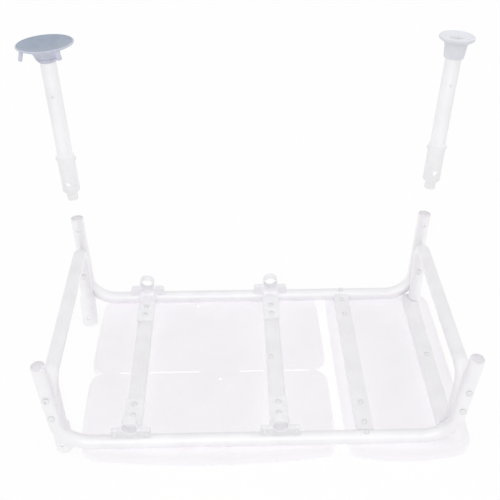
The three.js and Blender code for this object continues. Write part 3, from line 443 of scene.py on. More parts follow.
def tubeStations(corners, bendRadius, bendSteps):
    headings = [(b - a).normalized() for a, b in zip(corners, corners[1:])]
    stations = [(corners[0], headings[0])]
    for i in range(1, len(corners) - 1):
        incoming, outgoing = headings[i - 1], headings[i]
        turn = incoming.angle(outgoing)
        start = corners[i] - incoming * bendRadius * math.tan(turn / 2)
        axis = incoming.cross(outgoing).normalized()
        centre = start + axis.cross(incoming) * bendRadius
        for step in range(bendSteps + 1):
            spin = Matrix.Rotation(turn * step / bendSteps, 3, axis)
            stations.append((centre + spin @ (start - centre), spin @ incoming))
    stations.append((corners[-1], headings[-1]))
    return stations


def bentTubeMesh(name, corners, bendRadius, values=frameTube):
    stations = tubeStations(corners, bendRadius, values["bendSteps"])
    flat = stations[0][1].cross(stations[len(stations) // 2][1]).normalized()
    spots = [along(heading, point, flat) for point, heading in stations]
    bm = bmesh.new()
    bmesh.ops.create_circle(bm, cap_ends=False, radius=values["radius"], segments=values["sides"],
                            matrix=spots[0])
    ring = list(bm.edges)
    for before, after in zip(spots, spots[1:]):
        grown = bmesh.ops.extrude_edge_only(bm, edges=ring)["geom"]
        verts = [item for item in grown if isinstance(item, bmesh.types.BMVert)]
        ring = [item for item in grown if isinstance(item, bmesh.types.BMEdge)]
        bmesh.ops.transform(bm, matrix=after @ before.inverted(), verts=verts)
    bmesh.ops.recalc_face_normals(bm, faces=bm.faces)
    tube = looseObject(meshFrom(bm, name), "tubeSkin")
    wall = tube.modifiers.new("wall", "SOLIDIFY")
    wall.thickness = values["wall"]
    wall.offset = -1
    mesh = applied(tube)
    bpy.data.objects.remove(tube)
    return mesh


def makeRail(name, node, signY, values=frameTube):
    rise = values["socketRise"]
    ends = ((-1, rise), (-1, 0), (1, 0), (1, rise))
    corners = [socketPoint(signX, signY, height) for signX, height in ends]
    cutters = []
    for signX in (-1, 1):
        lock = socketPoint(signX, signY, rise) - socketDirection(signX, signY) * values["lockHoleBelowEnd"]
        cutters.append(rodMesh(values["lockHoleRadius"], 0, 30 * mm, along(inward(signX, signY), lock)))
    mesh = cutMesh(bentTubeMesh(name, corners, values["railBend"]), cutters)
    newPiece(name, "frame", aluminium, [node], smoothMesh(mesh))


def armSocketMesh(tail, way, values=frameTube):
    # tube end swaged wider, with soft shoulders where the taper starts and stops
    tube, wide, wall = values["radius"], values["armSocketRadius"], values["wall"]
    length, top = values["armSocketLength"], values["armSocketLength"] + values["armSocketTaper"]
    skin = [(wide, -values["levelCut"]), (wide, length - 1 * mm), (wide - 0.15 * mm, length + 0.6 * mm),
            (tube + 0.15 * mm, top - 0.6 * mm), (tube, top)]
    lining = [(radius - wall, height) for radius, height in reversed(skin)]
    return turnedMesh("armSocket", [*skin, *lining], 64, along(way, tail))


def makeEndFrame(name, node, signX, tailHeight, swaged, values=frameTube):
    x = endFrameX(signX)
    tailRise = tailHeight - values["railHeight"]
    top = values["endFrameRise"]
    tails = [Vector((x, endFrameY(signY, tailRise), tailHeight)) for signY in (-1, 1)]
    ways = [Vector((0, signY * values["leanAcross"], 1)).normalized() for signY in (-1, 1)]
    # plain ends reach past the level cut; swaged ends start above their sockets
    start = values["armSocketLength"] + values["armSocketTaper"] if swaged else -values["levelCut"]
    corners = [
        tails[0] + ways[0] * start,
        Vector((x, endFrameY(-1, top), values["railHeight"] + top)),
        Vector((x, endFrameY(1, top), values["railHeight"] + top)),
        tails[1] + ways[1] * start,
    ]
    under = blockMesh("under", (80 * mm, 600 * mm, 80 * mm), (x, 0, tailHeight - 40 * mm))
    parts = [bentTubeMesh(name, corners, values["endFrameBend"])]
    if swaged:
        for tail, way in zip(tails, ways):
            y = tail.y + way.y * (values["pinHoleHeight"] - tailHeight)
            pinPlace = along((0, 1, 0), (x, y, values["pinHoleHeight"]))
            pin = rodMesh(values["pinHoleRadius"], -20 * mm, 20 * mm, pinPlace)
            parts.append(cutMesh(armSocketMesh(tail, way), [under.copy(), pin]))
    else:
        parts[0] = cutMesh(parts[0], [under])
    newPiece(name, "frame", aluminium, [node], joinedMesh(name, parts))


makeRail("nearRailTube", "near_rail", -1)
makeRail("farRailTube", "far_rail", 1)
makeEndFrame("leftEndFrameTube", "left_end_frame", -1, frameTube["leftTailHeight"], True)
makeEndFrame("rightEndFrameTube", "right_end_frame", 1, frameTube["rightTailHeight"], False)
print("tube frame made")


# Crossbars
crossbars = {
    "height": 20 * mm,
    "bottom": 30.3 * mm,
    "wall": 1.8 * mm,
    "copeRadius": 12.6 * mm,    # notch round each tail of the right end frame
    "outerCut": (27 * mm, 31 * mm, 60 * mm),    # block that takes off the sliver left outside it
    "outerCutHeight": 50 * mm,
    "bars": [
        # name, node, x, width, corner radius, segments of the corner, half length before the ends are coped
        ("leftBracketBar", "left_bracket_crossbar", -213 * mm, 30 * mm, 7 * mm, 8, 183 * mm),
        ("rightBracketBar", "right_bracket_crossbar", 38 * mm, 30 * mm, 7 * mm, 8, 183 * mm),
        ("middleBar", "middle_crossbar", 184 * mm, 28 * mm, 2 * mm, 3, 183 * mm),
        ("endBar", "end_crossbar", endFrameX(1) - 8.5 * mm, 27 * mm, 2 * mm, 3, 177.7 * mm),
    ],
}


def barMesh(x, width, corner, segments, reach, values=crossbars):
    centre = (x, 0, values["bottom"] + values["height"] / 2)
    isLong = lambda edge: runAcross(edge) > reach
    bar = blockMesh("bar", (width, reach * 2, values["height"]), centre, corner, segments, isLong)
    wall = values["wall"] + corner * 0.2    # so that the square hollow clears the round corners
    hollow = blockMesh("hollow", (width - wall * 2, reach * 3, values["height"] - wall * 2), centre)
    return bar, hollow


def railSpaces(values=frameTube):
    # what the near and the far rail need free around them, longer than the bench
    spaces = []
    for signY in (-1, 1):
        place = (0, signY * values["railHalfSpacing"], values["railHeight"])
        way = along((1, 0, 0), place, (0, 0, 1))
        spaces.append(rodMesh(values["radius"] + clearance, -0.6, 0.6, way, 48))
    return spaces


def tailSpaces(values=crossbars):
    # what the right end frame's tails need free around them, with the sliver left outside each
    cut = values["outerCut"]
    spaces = []
    for signY in (-1, 1):
        spot = Vector((endFrameX(1), endFrameY(signY, 0), frameTube["railHeight"]))
        way = along((0, signY * frameTube["leanAcross"], 1), spot)
        spaces.append(rodMesh(values["copeRadius"], -40 * mm, 40 * mm, way, 48))
        place = (spot.x + cut[0] / 2, signY * (abs(spot.y) + cut[1] / 2), values["outerCutHeight"])
        spaces.append(blockMesh("outerCut", cut, place))
    return spaces


for name, node, x, width, corner, segments, reach in crossbars["bars"]:
    bar, hollow = barMesh(x, width, corner, segments, reach)
    spaces = tailSpaces() if name == "endBar" else railSpaces()
    newPiece(name, "frame", aluminium, [node], smoothMesh(cutMesh(bar, [hollow, *spaces])))
print("crossbars made")


# Seat panels
seat = {
    "thickness": 30 * mm,
    "halfDepth": 215 * mm,
    "rim": 8 * mm,
    "sideBow": 2 * mm,
    # left, right, radius of the left corners, of the right ones, bow of the long edges
    "large": (-306 * mm, 138 * mm, 38 * mm, 26 * mm, 12 * mm),
    "small": (147 * mm, 369 * mm, 38 * mm, 38 * mm, 8 * mm),
    "notchDepth": 17 * mm,
    "notchHalfWidth": 14 * mm,
    "notchY": -15 * mm,
    "grooveY": -17 * mm,
    "grooveWidth": 3.2 * mm,
    "grooveDepth": 1.6 * mm,
    "grooveRound": 1.2 * mm,
    "grooves": [(-251, -232), (-194, -102), (-27, 18), (58, 101)],    # start and end, mm
    "dimples": [(-111, 173), (-64, -37)],    # x and y, mm
    "dimpleRadius": 2.6 * mm,
    "dimpleDepth": 2.4 * mm,
}


def panelOutline(left, right, leftRadius, rightRadius, bow, notched, values=seat):
    # (handle, handle, point) steps round the panel; a quadratic turn is raised to a cubic
    edge, side = values["halfDepth"], values["sideBow"]
    corner = edge - bow
    points = [Vector((left + leftRadius, -corner, 0))]
    steps = []

    def quad(cx, cy, x, y):
        start, control, end = points[-1], Vector((cx, cy, 0)), Vector((x, y, 0))
        steps.append((start.lerp(control, 2 / 3), end.lerp(control, 2 / 3), end))
        points.append(end)

    def cubic(ax, ay, bx, by, x, y):
        end = Vector((x, y, 0))
        steps.append((Vector((ax, ay, 0)), Vector((bx, by, 0)), end))
        points.append(end)

    def notch(x, sign):
        half, depth, middleY = values["notchHalfWidth"], values["notchDepth"], values["notchY"]
        lobe = half * 2
        start, end = middleY - sign * (half + lobe), middleY + sign * (half + lobe)
        mouth, tip = sign * half, x - sign * depth
        quad(x, (start - sign * edge) / 2, x, start)
        cubic(x, start + sign * lobe, x - sign * depth / 4, middleY - mouth / 2, tip, middleY)
        cubic(x - sign * depth / 4, middleY + mouth / 2, x, end - sign * lobe, x, end)

    middle = (left + right) / 2
    leftSide, rightSide = left + side, right - side
    quad(middle, -edge - bow, right - rightRadius, -corner)
    quad(rightSide, -corner, rightSide, rightRadius - corner)
    if notched:
        notch(right, 1)
    quad(right, edge / 2 if notched else 0, rightSide, corner - rightRadius)
    quad(rightSide, corner, right - rightRadius, corner)
    quad(middle, edge + bow, left + leftRadius, corner)
    quad(leftSide, corner, leftSide, corner - leftRadius)
    if notched:
        notch(left, -1)
    quad(left, -edge / 2 if notched else 0, leftSide, leftRadius - corner)
    quad(leftSide, -corner, left + leftRadius, -corner)
    return points[0], steps


def panelMesh(name, outline, values=seat):
    start, steps = outline
    curve = bpy.data.curves.new(name, "CURVE")
    curve.dimensions = "2D"
    curve.fill_mode = "BOTH"
    curve.resolution_u = 16
    spline = curve.splines.new("BEZIER")
    spline.bezier_points.add(len(steps) - 1)
    spline.use_cyclic_u = True
    for point in spline.bezier_points:
        point.handle_left_type = point.handle_right_type = "FREE"
    for i, (leave, arrive, end) in enumerate(steps):
        here, there = spline.bezier_points[i], spline.bezier_points[(i + 1) % len(steps)]
        if i == 0:
            here.co = start
        here.handle_right = leave
        there.handle_left = arrive
        there.co = end
    curve.bevel_depth = values["rim"]
    curve.bevel_resolution = 4
    curve.offset = -values["rim"]
    curve.extrude = values["thickness"] / 2 - values["rim"]
    thing = looseObject(curve, name)
    mesh = applied(thing)
    bpy.data.objects.remove(thing)
    mesh.transform(Matrix.Translation((0, 0, values["thickness"] / 2)))
    bm = bmesh.new()
    bm.from_mesh(mesh)
    bmesh.ops.remove_doubles(bm, verts=bm.verts, dist=weldDistance * 2)
    bmesh.ops.recalc_face_normals(bm, faces=bm.faces)
    return meshFrom(bm, name)


def makeLargePanel(values=seat):
    top = values["thickness"]
    cutters = []
    for start, end in values["grooves"]:
        size = ((end - start) * mm, values["grooveWidth"], values["grooveDepth"] * 2)
        place = ((start + end) / 2 * mm, values["grooveY"], top)
        cutters.append(blockMesh("groove", size, place, values["grooveRound"], 3))
    for x, y in values["dimples"]:
        place = Matrix.Translation((x * mm, y * mm, 0))
        cutters.append(rodMesh(values["dimpleRadius"], top - values["dimpleDepth"], top + 5 * mm, place))
    mesh = cutMesh(panelMesh("largePanel", panelOutline(*values["large"], True)), cutters)
    newPiece("largePanel", "frame", polyethylene, ["large_seat_panel"], smoothMesh(mesh))


def makeSmallPanel(values=seat):
    mesh = panelMesh("smallPanel", panelOutline(*values["small"], False))
    newPiece("smallPanel", "frame", polyethylene, ["small_seat_panel"], smoothMesh(mesh))


makeLargePanel()
makeSmallPanel()
print("seat panels made")


# Screws and bolts with domed heads
heads = {
    "seatScrew": {"shank": 2.4 * mm, "head": 4.6 * mm, "height": 2.8 * mm},
    "footBolt": {"shank": 2.6 * mm, "head": 5 * mm, "height": 3.2 * mm},
    "frameBolt": {
        "shank": 3 * mm, "head": 6 * mm, "height": 3.6 * mm, "grip": 48.9 * mm, "screwLength": 32.6 * mm,
        "nut": 5.6 * mm, "nutHeight": 5.2 * mm,
        "nutDome": [(0.35, 0.2 * mm), (0.7, 1.1 * mm), (0.9, 2.4 * mm)],    # share of its radius, height
    },
    "slotWidth": 0.9 * mm,
    "slotDepth": 0.9 * mm,
}


def domePoints(radius, height, rows=7):
    # quarter-round from the head's rim up to its crown
    rim = height * 0.3
    rise = height - rim
    angles = [math.pi / 2 * i / rows for i in range(rows)]
    arc = [(radius * math.cos(angle), rim + rise * math.sin(angle)) for angle in angles]
    return [(radius, 0), *arc, (0, height)]


def headedMesh(name, values, length, matrix, turn):
    shank, head, height = values["shank"], values["head"], values["height"]
    profile = [(0, -length), (shank, -length), (shank, 0), *domePoints(head, height)]
    body = turnedMesh(name, profile, 36, matrix)
    cross = []
    for angle in (turn, turn + math.pi / 2):
        size = (head * 0.95, heads["slotWidth"], heads["slotDepth"] * 2)
        blade = blockMesh("slot", size, (0, 0, height))
        blade.transform(matrix @ Matrix.Rotation(angle, 4, "Z"))
        cross.append(blade)
    return smoothMesh(cutMesh(body, cross))


screwNodes = {
    "seatScrew": [
        *[f"middle_crossbar_screw_{i}" for i in (1, 2, 3, 4)],
        "bracket_crossbar_screw", "near_rail_screw", "far_rail_screw",
        *[f"end_crossbar_screw_{i}" for i in (1, 2, 3)],
    ],
    "footBolt": [
        f"{row}_{column}_{place}_foot_bolt"
        for row in ("near", "far") for column in ("left", "right") for place in ("inner", "outer")
    ],
}
for kind, names in screwNodes.items():
    for i, node in enumerate(names):
        low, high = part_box(node)
        values = heads[kind]
        seatHeight = high[2] - values["height"]
        place = Matrix.Translation(((low[0] + high[0]) / 2, (low[1] + high[1]) / 2, seatHeight))
        # each cross slot stops at its own angle
        mesh = headedMesh(f"{kind}{i}", values, seatHeight - low[2], place, 0.4 + 1.3 * i)
        newPiece(f"{kind}{i}", "frame", steel, [node], mesh)


def boltMesh(name, values, matrix):
    bottom, nut = -values["grip"], values["nut"]
    nutTop = bottom - values["nutHeight"]
    dome = [(nut * share, nutTop + height) for share, height in values["nutDome"]]
    profile = [(0, nutTop), *dome, (nut, bottom - 1.6 * mm), (nut, bottom), (values["shank"], bottom),
               (values["shank"], 0), *domePoints(values["head"], values["height"])]
    return turnedMesh(name, profile, 36, matrix)


for signY, row in ((-1, "near"), (1, "far")):
    for signX, column in ((-1, "left"), (1, "right")):
        values = heads["frameBolt"]
        way = outward(signY)
        lift = way * (frameTube["radius"] + clearance)
        name = f"{row}{column.capitalize()}FrameBolt"
        mesh = boltMesh(name, values, along(way, socketPoint(signX, signY, frameTube["boltRise"]) + lift))
        newPiece(name, "frame", steel, [f"{row}_{column}_lower_frame_bolt"], mesh)
        name = f"{row}{column.capitalize()}FrameScrew"
        place = along(way, socketPoint(signX, signY, frameTube["screwRise"]) + lift)
        mesh = headedMesh(name, values, values["screwLength"], place, 0.5 + signX + signY * 0.3)
        newPiece(name, "frame", steel, [f"{row}_{column}_upper_frame_bolt"], mesh)
print("fasteners made")


# Backrest brackets: a foot on the crossbar's end and a ring plate in front of its wall
bracket = {
    "bars": [-213 * mm, 38 * mm],
    "wallMiddle": 186.8 * mm,
    "wallThickness": 7 * mm,
    "wallWidth": 66 * mm,
    "wallTop": 69.8 * mm,
    "cornerRadius": 5 * mm,
    "plateThickness": 3 * mm,
    "footWidth": 32 * mm,
    "footStart": 104 * mm,
    "footThickness": 4.5 * mm,
    "footBottom": 50.6 * mm,
    "gussetRun": 26 * mm,
    "gussetThickness": 4 * mm,
    "ringHeight": 80.3 * mm,
    "ringOuter": 14.3 * mm,
    "ringBore": 12.6 * mm,
    "ringLength": 16 * mm,
    "ringShareInside": 0.6,
    "ringLip": 0.5 * mm,
    "studSpread": 27 * mm,
    "studRise": 20 * mm,
    "studPin": 2 * mm,
    "studDepth": 10 * mm,
    "studHead": 3.6 * mm,
    "studHeadHeight": 2.2 * mm,
}


def standingPlate(x, signY, inner, thickness, values=bracket):
    bottom = frameTube["railHeight"]
    height = values["wallTop"] - bottom
    place = (x, signY * (inner + thickness / 2), bottom + height / 2)
    size = (values["wallWidth"], thickness, height)
    isUpperCorner = lambda edge: runAcross(edge) > thickness * 0.9 and edge.verts[0].co.z > place[2]
    return blockMesh("plate", size, place, values["cornerRadius"], 6, isUpperCorner)


def gussetMesh(x, signY, side, values=bracket):
    # wedge between the foot plate and the wall, from a block whose upper edge is pulled down
    run, thick = values["gussetRun"], values["gussetThickness"]
    low = values["footBottom"] + values["footThickness"] / 2
    high = values["wallTop"] - values["cornerRadius"]
    shift = side * (values["footWidth"] - thick) / 2
    place = (x + shift, signY * (values["wallMiddle"] - run / 2), (low + high) / 2)
    size = Matrix.Diagonal((thick, run, high - low, 1))
    bm = bmesh.new()
    bmesh.ops.create_cube(bm, size=1, matrix=Matrix.Translation(place) @ size)
    for vert in bm.verts:
        if vert.co.z > place[2] and abs(vert.co.y) < values["wallMiddle"] - run * 0.5:
            vert.co.z = low + 0.3 * mm
    return smoothMesh(meshFrom(bm, "gusset"))


def makeBracket(row, column, x, signY, values=bracket):
    wallInner = values["wallMiddle"] - values["wallThickness"] / 2
    footLength = values["wallMiddle"] - values["footStart"]
    footSize = (values["footWidth"], footLength, values["footThickness"])
    footHeight = values["footBottom"] + values["footThickness"] / 2
    footPlace = (x, signY * (values["footStart"] + footLength / 2), footHeight)
    railSpace = railSpaces()[0 if signY < 0 else 1]
    ringSpot = Vector((x, signY * values["wallMiddle"], values["ringHeight"]))
    ringSpace = rodMesh(values["ringOuter"] + clearance, -40 * mm, 40 * mm, along((0, 1, 0), ringSpot), 64)
    parts = [
        blockMesh("foot", footSize, footPlace, 1.2 * mm, 3),
        standingPlate(x, signY, wallInner, values["wallThickness"]),
        gussetMesh(x, signY, -1),
        gussetMesh(x, signY, 1),
    ]
    shaped = [cutMesh(part, [railSpace.copy(), ringSpace.copy()]) for part in parts]
    name = f"{row}{column.capitalize()}Bracket"
    mesh = joinedMesh(f"{name}Foot", shaped)
    foot = newPiece(f"{name}Foot", "frame", nylon, [f"{row}_{column}_bracket_foot"], mesh)
    softEdges(foot, 0.5 * mm)

    plateInner = values["wallMiddle"] + values["wallThickness"] / 2 + clearance
    plateOuter = plateInner + values["plateThickness"]
    inside = values["ringLength"] * values["ringShareInside"]
    outside = values["ringLength"] - inside
    spot = along((0, signY, 0), (x, signY * plateInner, values["ringHeight"]))
    bore, outer, lip = values["ringBore"], values["ringOuter"], values["ringLip"]
    borer = rodMesh(bore, -40 * mm, 40 * mm, spot, 64)
    plate = cutMesh(standingPlate(x, signY, plateInner, values["plateThickness"]), [railSpace.copy(), borer])
    profile = [(bore, lip - inside), (bore + lip, -inside), (outer - lip, -inside), (outer, lip - inside),
               (outer, outside - lip), (outer - lip, outside), (bore + lip, outside), (bore, outside - lip)]
    ring = turnedMesh("ring", profile, 72, spot)
    mesh = joinedMesh(f"{name}Ring", [plate, ring])
    ringPiece = newPiece(f"{name}Ring", "frame", nylon, [f"{row}_{column}_bracket_ring"], mesh)
    # painted highlight: the ring's front edge is paler, as if it caught the light
    frontStart = plateInner + outside - 1.2 * lip
    isHighlighted = [signY * part.center.y > frontStart for part in ringPiece.data.polygons]
    ringPiece.data.materials.append(ringHighlightNylon)
    ringPiece.data.polygons.foreach_set("material_index", isHighlighted)
    softEdges(ringPiece, 0.4 * mm)

    # studs: bright heads in front, pins through the wall
    pin, depth = values["studPin"], values["studDepth"]
    head = domePoints(values["studHead"], values["studHeadHeight"])
    height = frameTube["railHeight"] + values["studRise"]
    studs = []
    for side in (-1, 1):
        place = along((0, signY, 0), (x + side * values["studSpread"], signY * plateOuter, height))
        studs.append(turnedMesh("stud", [(0, -depth), (pin, -depth), (pin, 0), *head], 32, place))
    newPiece(f"{name}Studs", "frame", steel, None, joinedMesh(f"{name}Studs", studs))


for row, signY in (("near", -1), ("far", 1)):
    for column, x in zip(("left", "right"), bracket["bars"]):
        makeBracket(row, column, x, signY)
print("brackets made")


# Legs, turned about Z with zero at the sleeve's open end, then stood on their sockets' axes
leg = {
    "tube": 14 * mm,
    "tubeWall": 1.3 * mm,
    "tubeEnd": 262 * mm,
    "sleeve": 16 * mm,
    "sleeveBore": 12.4 * mm,
    "sleeveLength": 74 * mm,
    "shoulder": 43 * mm,
    "rimRound": 1.2 * mm,
    "plug": 10.026 * mm,
    "plugWall": 1.3 * mm,
    "plugReach": 18 * mm,
    "plugShoulder": 12.4 * mm,
    "lockHole": 20 * mm,
    "lockHoleRadius": 3.9 * mm,
    "plugHoleRadius": 3.6 * mm,
    "buttonRadius": 3.2 * mm,
    "buttonTip": 9.526 * mm,
    "buttonLength": 12.3 * mm,
    "flangeRadius": 4.4 * mm,
    "flangeThickness": 1 * mm,
    "gaugeHole": 191 * mm,
    "gaugeHoleRadius": 2.6 * mm,
    "rivet": 66 * mm,
    "rivetRadius": 2.2 * mm,
    "rivetHead": 4 * mm,
    "rivetHeadHeight": 2.2 * mm,
    "gaps": {"left": 62 * mm, "right": 76 * mm},
}


def legMatrix(side, signX, values=leg):
    direction = socketDirection(signX, 1)
    buttonWay = inward(signX, 1)
    across = buttonWay.cross(direction)
    turn = Matrix((across, buttonWay, direction)).transposed()
    place = socketPoint(signX, 1, frameTube["socketRise"]) + direction * values["gaps"][side]
    return Matrix.Translation(place) @ turn.to_4x4()


def placedMesh(mesh, matrix):
    mesh.transform(matrix)
    return mesh


def crossRod(radius, height, start, end):
    return rodMesh(radius, start, end, along((0, 1, 0), (0, 0, height)))


def makeDrilled(side, part, material, profile, hole, matrix):
    # a turned part of the leg with one hole, such as Tube for leftLegTube and left_leg_tube
    mesh = cutMesh(turnedMesh(part, profile, 64), [hole])
    mesh = smoothMesh(placedMesh(mesh, matrix))
    newPiece(f"{side}Leg{part}", f"{side}_leg", material, [f"{side}_leg_{part.lower()}"], mesh)


def makeLeg(side, signX, values=leg):
    matrix = legMatrix(side, signX)
    tube, wall, end = values["tube"], values["tubeWall"], values["tubeEnd"]
    start = values["shoulder"] + clearance
    profile = [(tube - wall, start), (tube, start), (tube, end), (tube - wall, end)]
    hole = crossRod(values["gaugeHoleRadius"], values["gaugeHole"], 0, 20 * mm)
    makeDrilled(side, "Tube", legAluminium, profile, hole, matrix)

    rim, sleeve, bore = values["rimRound"], values["sleeve"], values["sleeveBore"]
    length, upper, shoulder = values["sleeveLength"], tube + clearance, values["shoulder"]
    profile = [
        (bore + rim, 0), (sleeve - rim, 0), (sleeve - rim * 0.3, rim * 0.3), (sleeve, rim),
        (sleeve, length - rim), (sleeve - rim * 0.2, length - rim * 0.3), (sleeve - rim * 0.6, length),
        (tube + 0.05 * mm, length), (upper, length - 1.5 * mm), (upper, shoulder), (bore, shoulder),
        (bore, rim)]
    hole = crossRod(values["lockHoleRadius"], values["lockHole"], 0, 30 * mm)
    makeDrilled(side, "Sleeve", polypropylene, profile, hole, matrix)

    plug, reach, wide = values["plug"], values["plugReach"], values["plugShoulder"]
    inner = plug - values["plugWall"]
    profile = [
        (inner, -reach), (plug - 0.7 * mm, -reach), (plug - 0.2 * mm, 0.25 * mm - reach),
        (plug, 0.8 * mm - reach), (plug, start), (wide, start), (wide, length), (inner, length)]
    hole = crossRod(values["plugHoleRadius"], values["lockHole"], 0, 30 * mm)
    makeDrilled(side, "Plug", polypropylene, profile, hole, matrix)

    head = domePoints(values["rivetHead"], values["rivetHeadHeight"])
    far = [(radius, -height - sleeve - clearance) for radius, height in reversed(head)]
    near = [(radius, height + sleeve + clearance) for radius, height in head]
    shank = values["rivetRadius"]
    profile = [*far, (shank, -sleeve - clearance), (shank, sleeve + clearance), *near]
    mesh = turnedMesh("rivet", profile, 32, matrix @ along((1, 0, 0), (0, 0, values["rivet"]), (0, 1, 0)))
    newPiece(f"{side}LegRivet", f"{side}_leg", steel, [f"{side}_leg_rivet"], mesh)

    tip, radius = values["buttonTip"], values["buttonRadius"]
    low, flange, thick = tip - values["buttonLength"], values["flangeRadius"], values["flangeThickness"]
    profile = [(0, low), (flange, low), (flange, low + thick), (radius, low + thick),
               (radius, tip - 1.5 * mm), (radius * 0.93, tip - 0.95 * mm),
               (radius * 0.74, tip - 0.42 * mm), (radius * 0.42, tip - 0.1 * mm), (0, tip)]
    mesh = turnedMesh("button", profile, 32, matrix @ along((0, 1, 0), (0, 0, values["lockHole"])))
    newPiece(f"{side}SnapButton", f"{side}_leg_button", steel, [f"{side}_snap_button"], mesh)
    return matrix


leftMatrix = makeLeg("left", -1)
rightMatrix = makeLeg("right", 1)
print("legs made")


# Feet
suctionFoot = {
    "disc": 50 * mm,
    "face": 284 * mm,
    "dish": 9 * mm,
    "rim": 2.6 * mm,
    "stem": 21 * mm,
    "skirtDepth": 15 * mm,
    "skirtSwell": 4 * mm,
    "collarLow": 252 * mm,
    "collarLowRadius": 16 * mm,
    "collarHighRadius": 20 * mm,
    "collarLength": 8 * mm,
    "bore": 14.3 * mm,
    "socketEnd": 262.3 * mm,
    "tabWidth": 9 * mm,
    "tabLength": 18 * mm,
    "tabThickness": 2.6 * mm,
    "tabTilt": 0.35,             # radians
    "tabAngles": [46, 126],      # degrees round the disc
}


def makeSuctionFoot(matrix, values=suctionFoot):
    low, top = values["collarLow"], values["collarLow"] + values["collarLength"]
    lowRadius, highRadius, bore = values["collarLowRadius"], values["collarHighRadius"], values["bore"]
    swell = highRadius - lowRadius
    mesh = turnedMesh("collar", [
        (bore, low), (lowRadius - 0.6 * mm, low), (lowRadius, low + 0.6 * mm),
        (lowRadius + swell * 0.25, low + 1.8 * mm), (lowRadius + swell * 0.6, low + 3.6 * mm),
        (lowRadius + swell * 0.92, low + 5.6 * mm), (highRadius, top - 1.6 * mm),
        (highRadius, top - 0.6 * mm), (highRadius - 0.6 * mm, top), (bore, top)], 64, matrix)
    newPiece("suctionCollar", "left_leg", paleVinyl, ["suction_foot_collar"], mesh)

    radius, face, dish, stem = values["disc"], values["face"], values["dish"], values["stem"]
    cupLow = top + clearance
    bell = [
        (bore, cupLow), (stem - 0.6 * mm, cupLow), (stem, cupLow + 0.6 * mm),
        (stem + 0.9 * mm, face - 19.5 * mm), (stem + values["skirtSwell"], face - values["skirtDepth"]),
        (stem + 9.5 * mm, face - 11 * mm), (radius * 0.75, face - 8 * mm), (radius * 0.89, face - 5 * mm)]
    lip = [
        (radius - 0.4 * mm, face - values["rim"]), (radius, face - 1.9 * mm), (radius, face - 0.9 * mm),
        (radius - 0.7 * mm, face - 0.2 * mm), (radius * 0.96, face), (radius * 0.945, face - 0.3 * mm),
        (radius * 0.9, face - 0.9 * mm)]
    # (share of the disc's radius, share of the dish's depth)
    hollow = [(radius * share, face - dish * depth) for share, depth in (
        (0.72, 0.35), (0.56, 0.6), (0.42, 0.8), (0.2, 0.95))]
    socket = [(0, face - dish), (0, values["socketEnd"]), (bore, values["socketEnd"])]
    cup = turnedMesh("cup", [*bell, *lip, *hollow, *socket], 96)
    tabs = []
    width, length, thick = values["tabWidth"], values["tabLength"], values["tabThickness"]
    for degrees in values["tabAngles"]:
        isSideEdge = lambda edge: runAcross(edge) > thick * 0.9
        tab = blockMesh("tab", (width, thick, length), (0, -thick / 2, 0), width / 3, 5, isSideEdge)
        tab.transform(Matrix.Rotation(values["tabTilt"], 4, "X"))
        tab.transform(Matrix.Translation((0, radius + thick * 0.4, face - length / 2)))
        tab.transform(Matrix.Rotation(math.radians(degrees - 90), 4, "Z"))
        tabs.append(tab)
    mesh = joinedMesh("suctionCup", [cup, *tabs])
    # the face is darker than the thin rim, the tabs and the bell behind it
    isPale = []
    for part in mesh.polygons:
        reach = part.center.xy.length
        isFace = reach < radius * 0.955 and part.center.z > face - dish - 0.5 * mm - reach * 0.02
        isPale.append(not isFace or part.normal.z < 0.3)
    piece = newPiece("suctionCup", "left_leg", suctionRubber, ["suction_foot_cup"], placedMesh(mesh, matrix))
    piece.data.materials.append(paleVinyl)
    piece.data.polygons.foreach_set("material_index", isPale)
    softEdges(piece, 0.4 * mm, 2, 50)


rubberTip = {
    "face": 277 * mm,
    "flare": 31 * mm,
    "dish": 5 * mm,
    "rim": 5 * mm,
    "collarLow": 238 * mm,
    "collarRadius": 17.4 * mm,
    "neck": 20.5 * mm,
    "neckShare": 0.7,
    "bore": 14.3 * mm,
    "socketEnd": 262.3 * mm,
    "washer": 11 * mm,
    "washerBore": 3.5 * mm,
    "washerThickness": 1.6 * mm,
}


def makeRubberTip(matrix, values=rubberTip):
    face, flare, rim, low = values["face"], values["flare"], values["rim"], values["collarLow"]
    bore, neck, collar, dish = values["bore"], values["neck"], values["collarRadius"], values["dish"]
    neckHeight = low + (face - low) * values["neckShare"]
    pocket = values["washer"] + clearance
    floor = face - dish - values["washerThickness"]
    mesh = turnedMesh("tip", [
        (bore, low), (collar - 0.6 * mm, low), (collar, low + 0.6 * mm),
        (neck - 0.6 * mm, neckHeight - 4 * mm), (neck + 0.5 * mm, neckHeight),
        (flare - rim * 1.1, face - rim * 1.75), (flare - rim * 0.6, face - rim * 1.6),
        (flare - 0.5 * mm, face - rim * 1.15), (flare, face - rim), (flare, face - rim * 0.3),
        (flare - 1 * mm, face - 0.5 * mm), (flare - 2 * mm, face), (flare - rim, face),
        (flare - rim - 2 * mm, face - 0.8 * mm), (flare * 0.6, face - dish * 0.75), (pocket, face - dish),
        (pocket, floor), (0, floor), (0, values["socketEnd"]), (bore, values["socketEnd"])], 96, matrix)
    newPiece("rubberTip", "right_leg", tipRubber, ["rubber_tip"], mesh)

    inner, outer = values["washerBore"], values["washer"]
    base = floor + clearance
    top = base + values["washerThickness"]
    mesh = turnedMesh("washer", [
        (inner, base), (outer - 0.3 * mm, base), (outer, base + 0.3 * mm), (outer, top - 0.4 * mm),
        (outer - 0.4 * mm, top), (inner + 0.4 * mm, top), (inner, top - 0.4 * mm)], 64, matrix)
    newPiece("tipWasher", "right_leg", steel, ["tip_washer"], mesh)


makeSuctionFoot(leftMatrix)
makeRubberTip(rightMatrix)
for node in ("left_button_spring", "right_button_spring"):
    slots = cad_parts[node].data.materials
    slots.clear()
    slots.append(springSteel)
print("feet made")


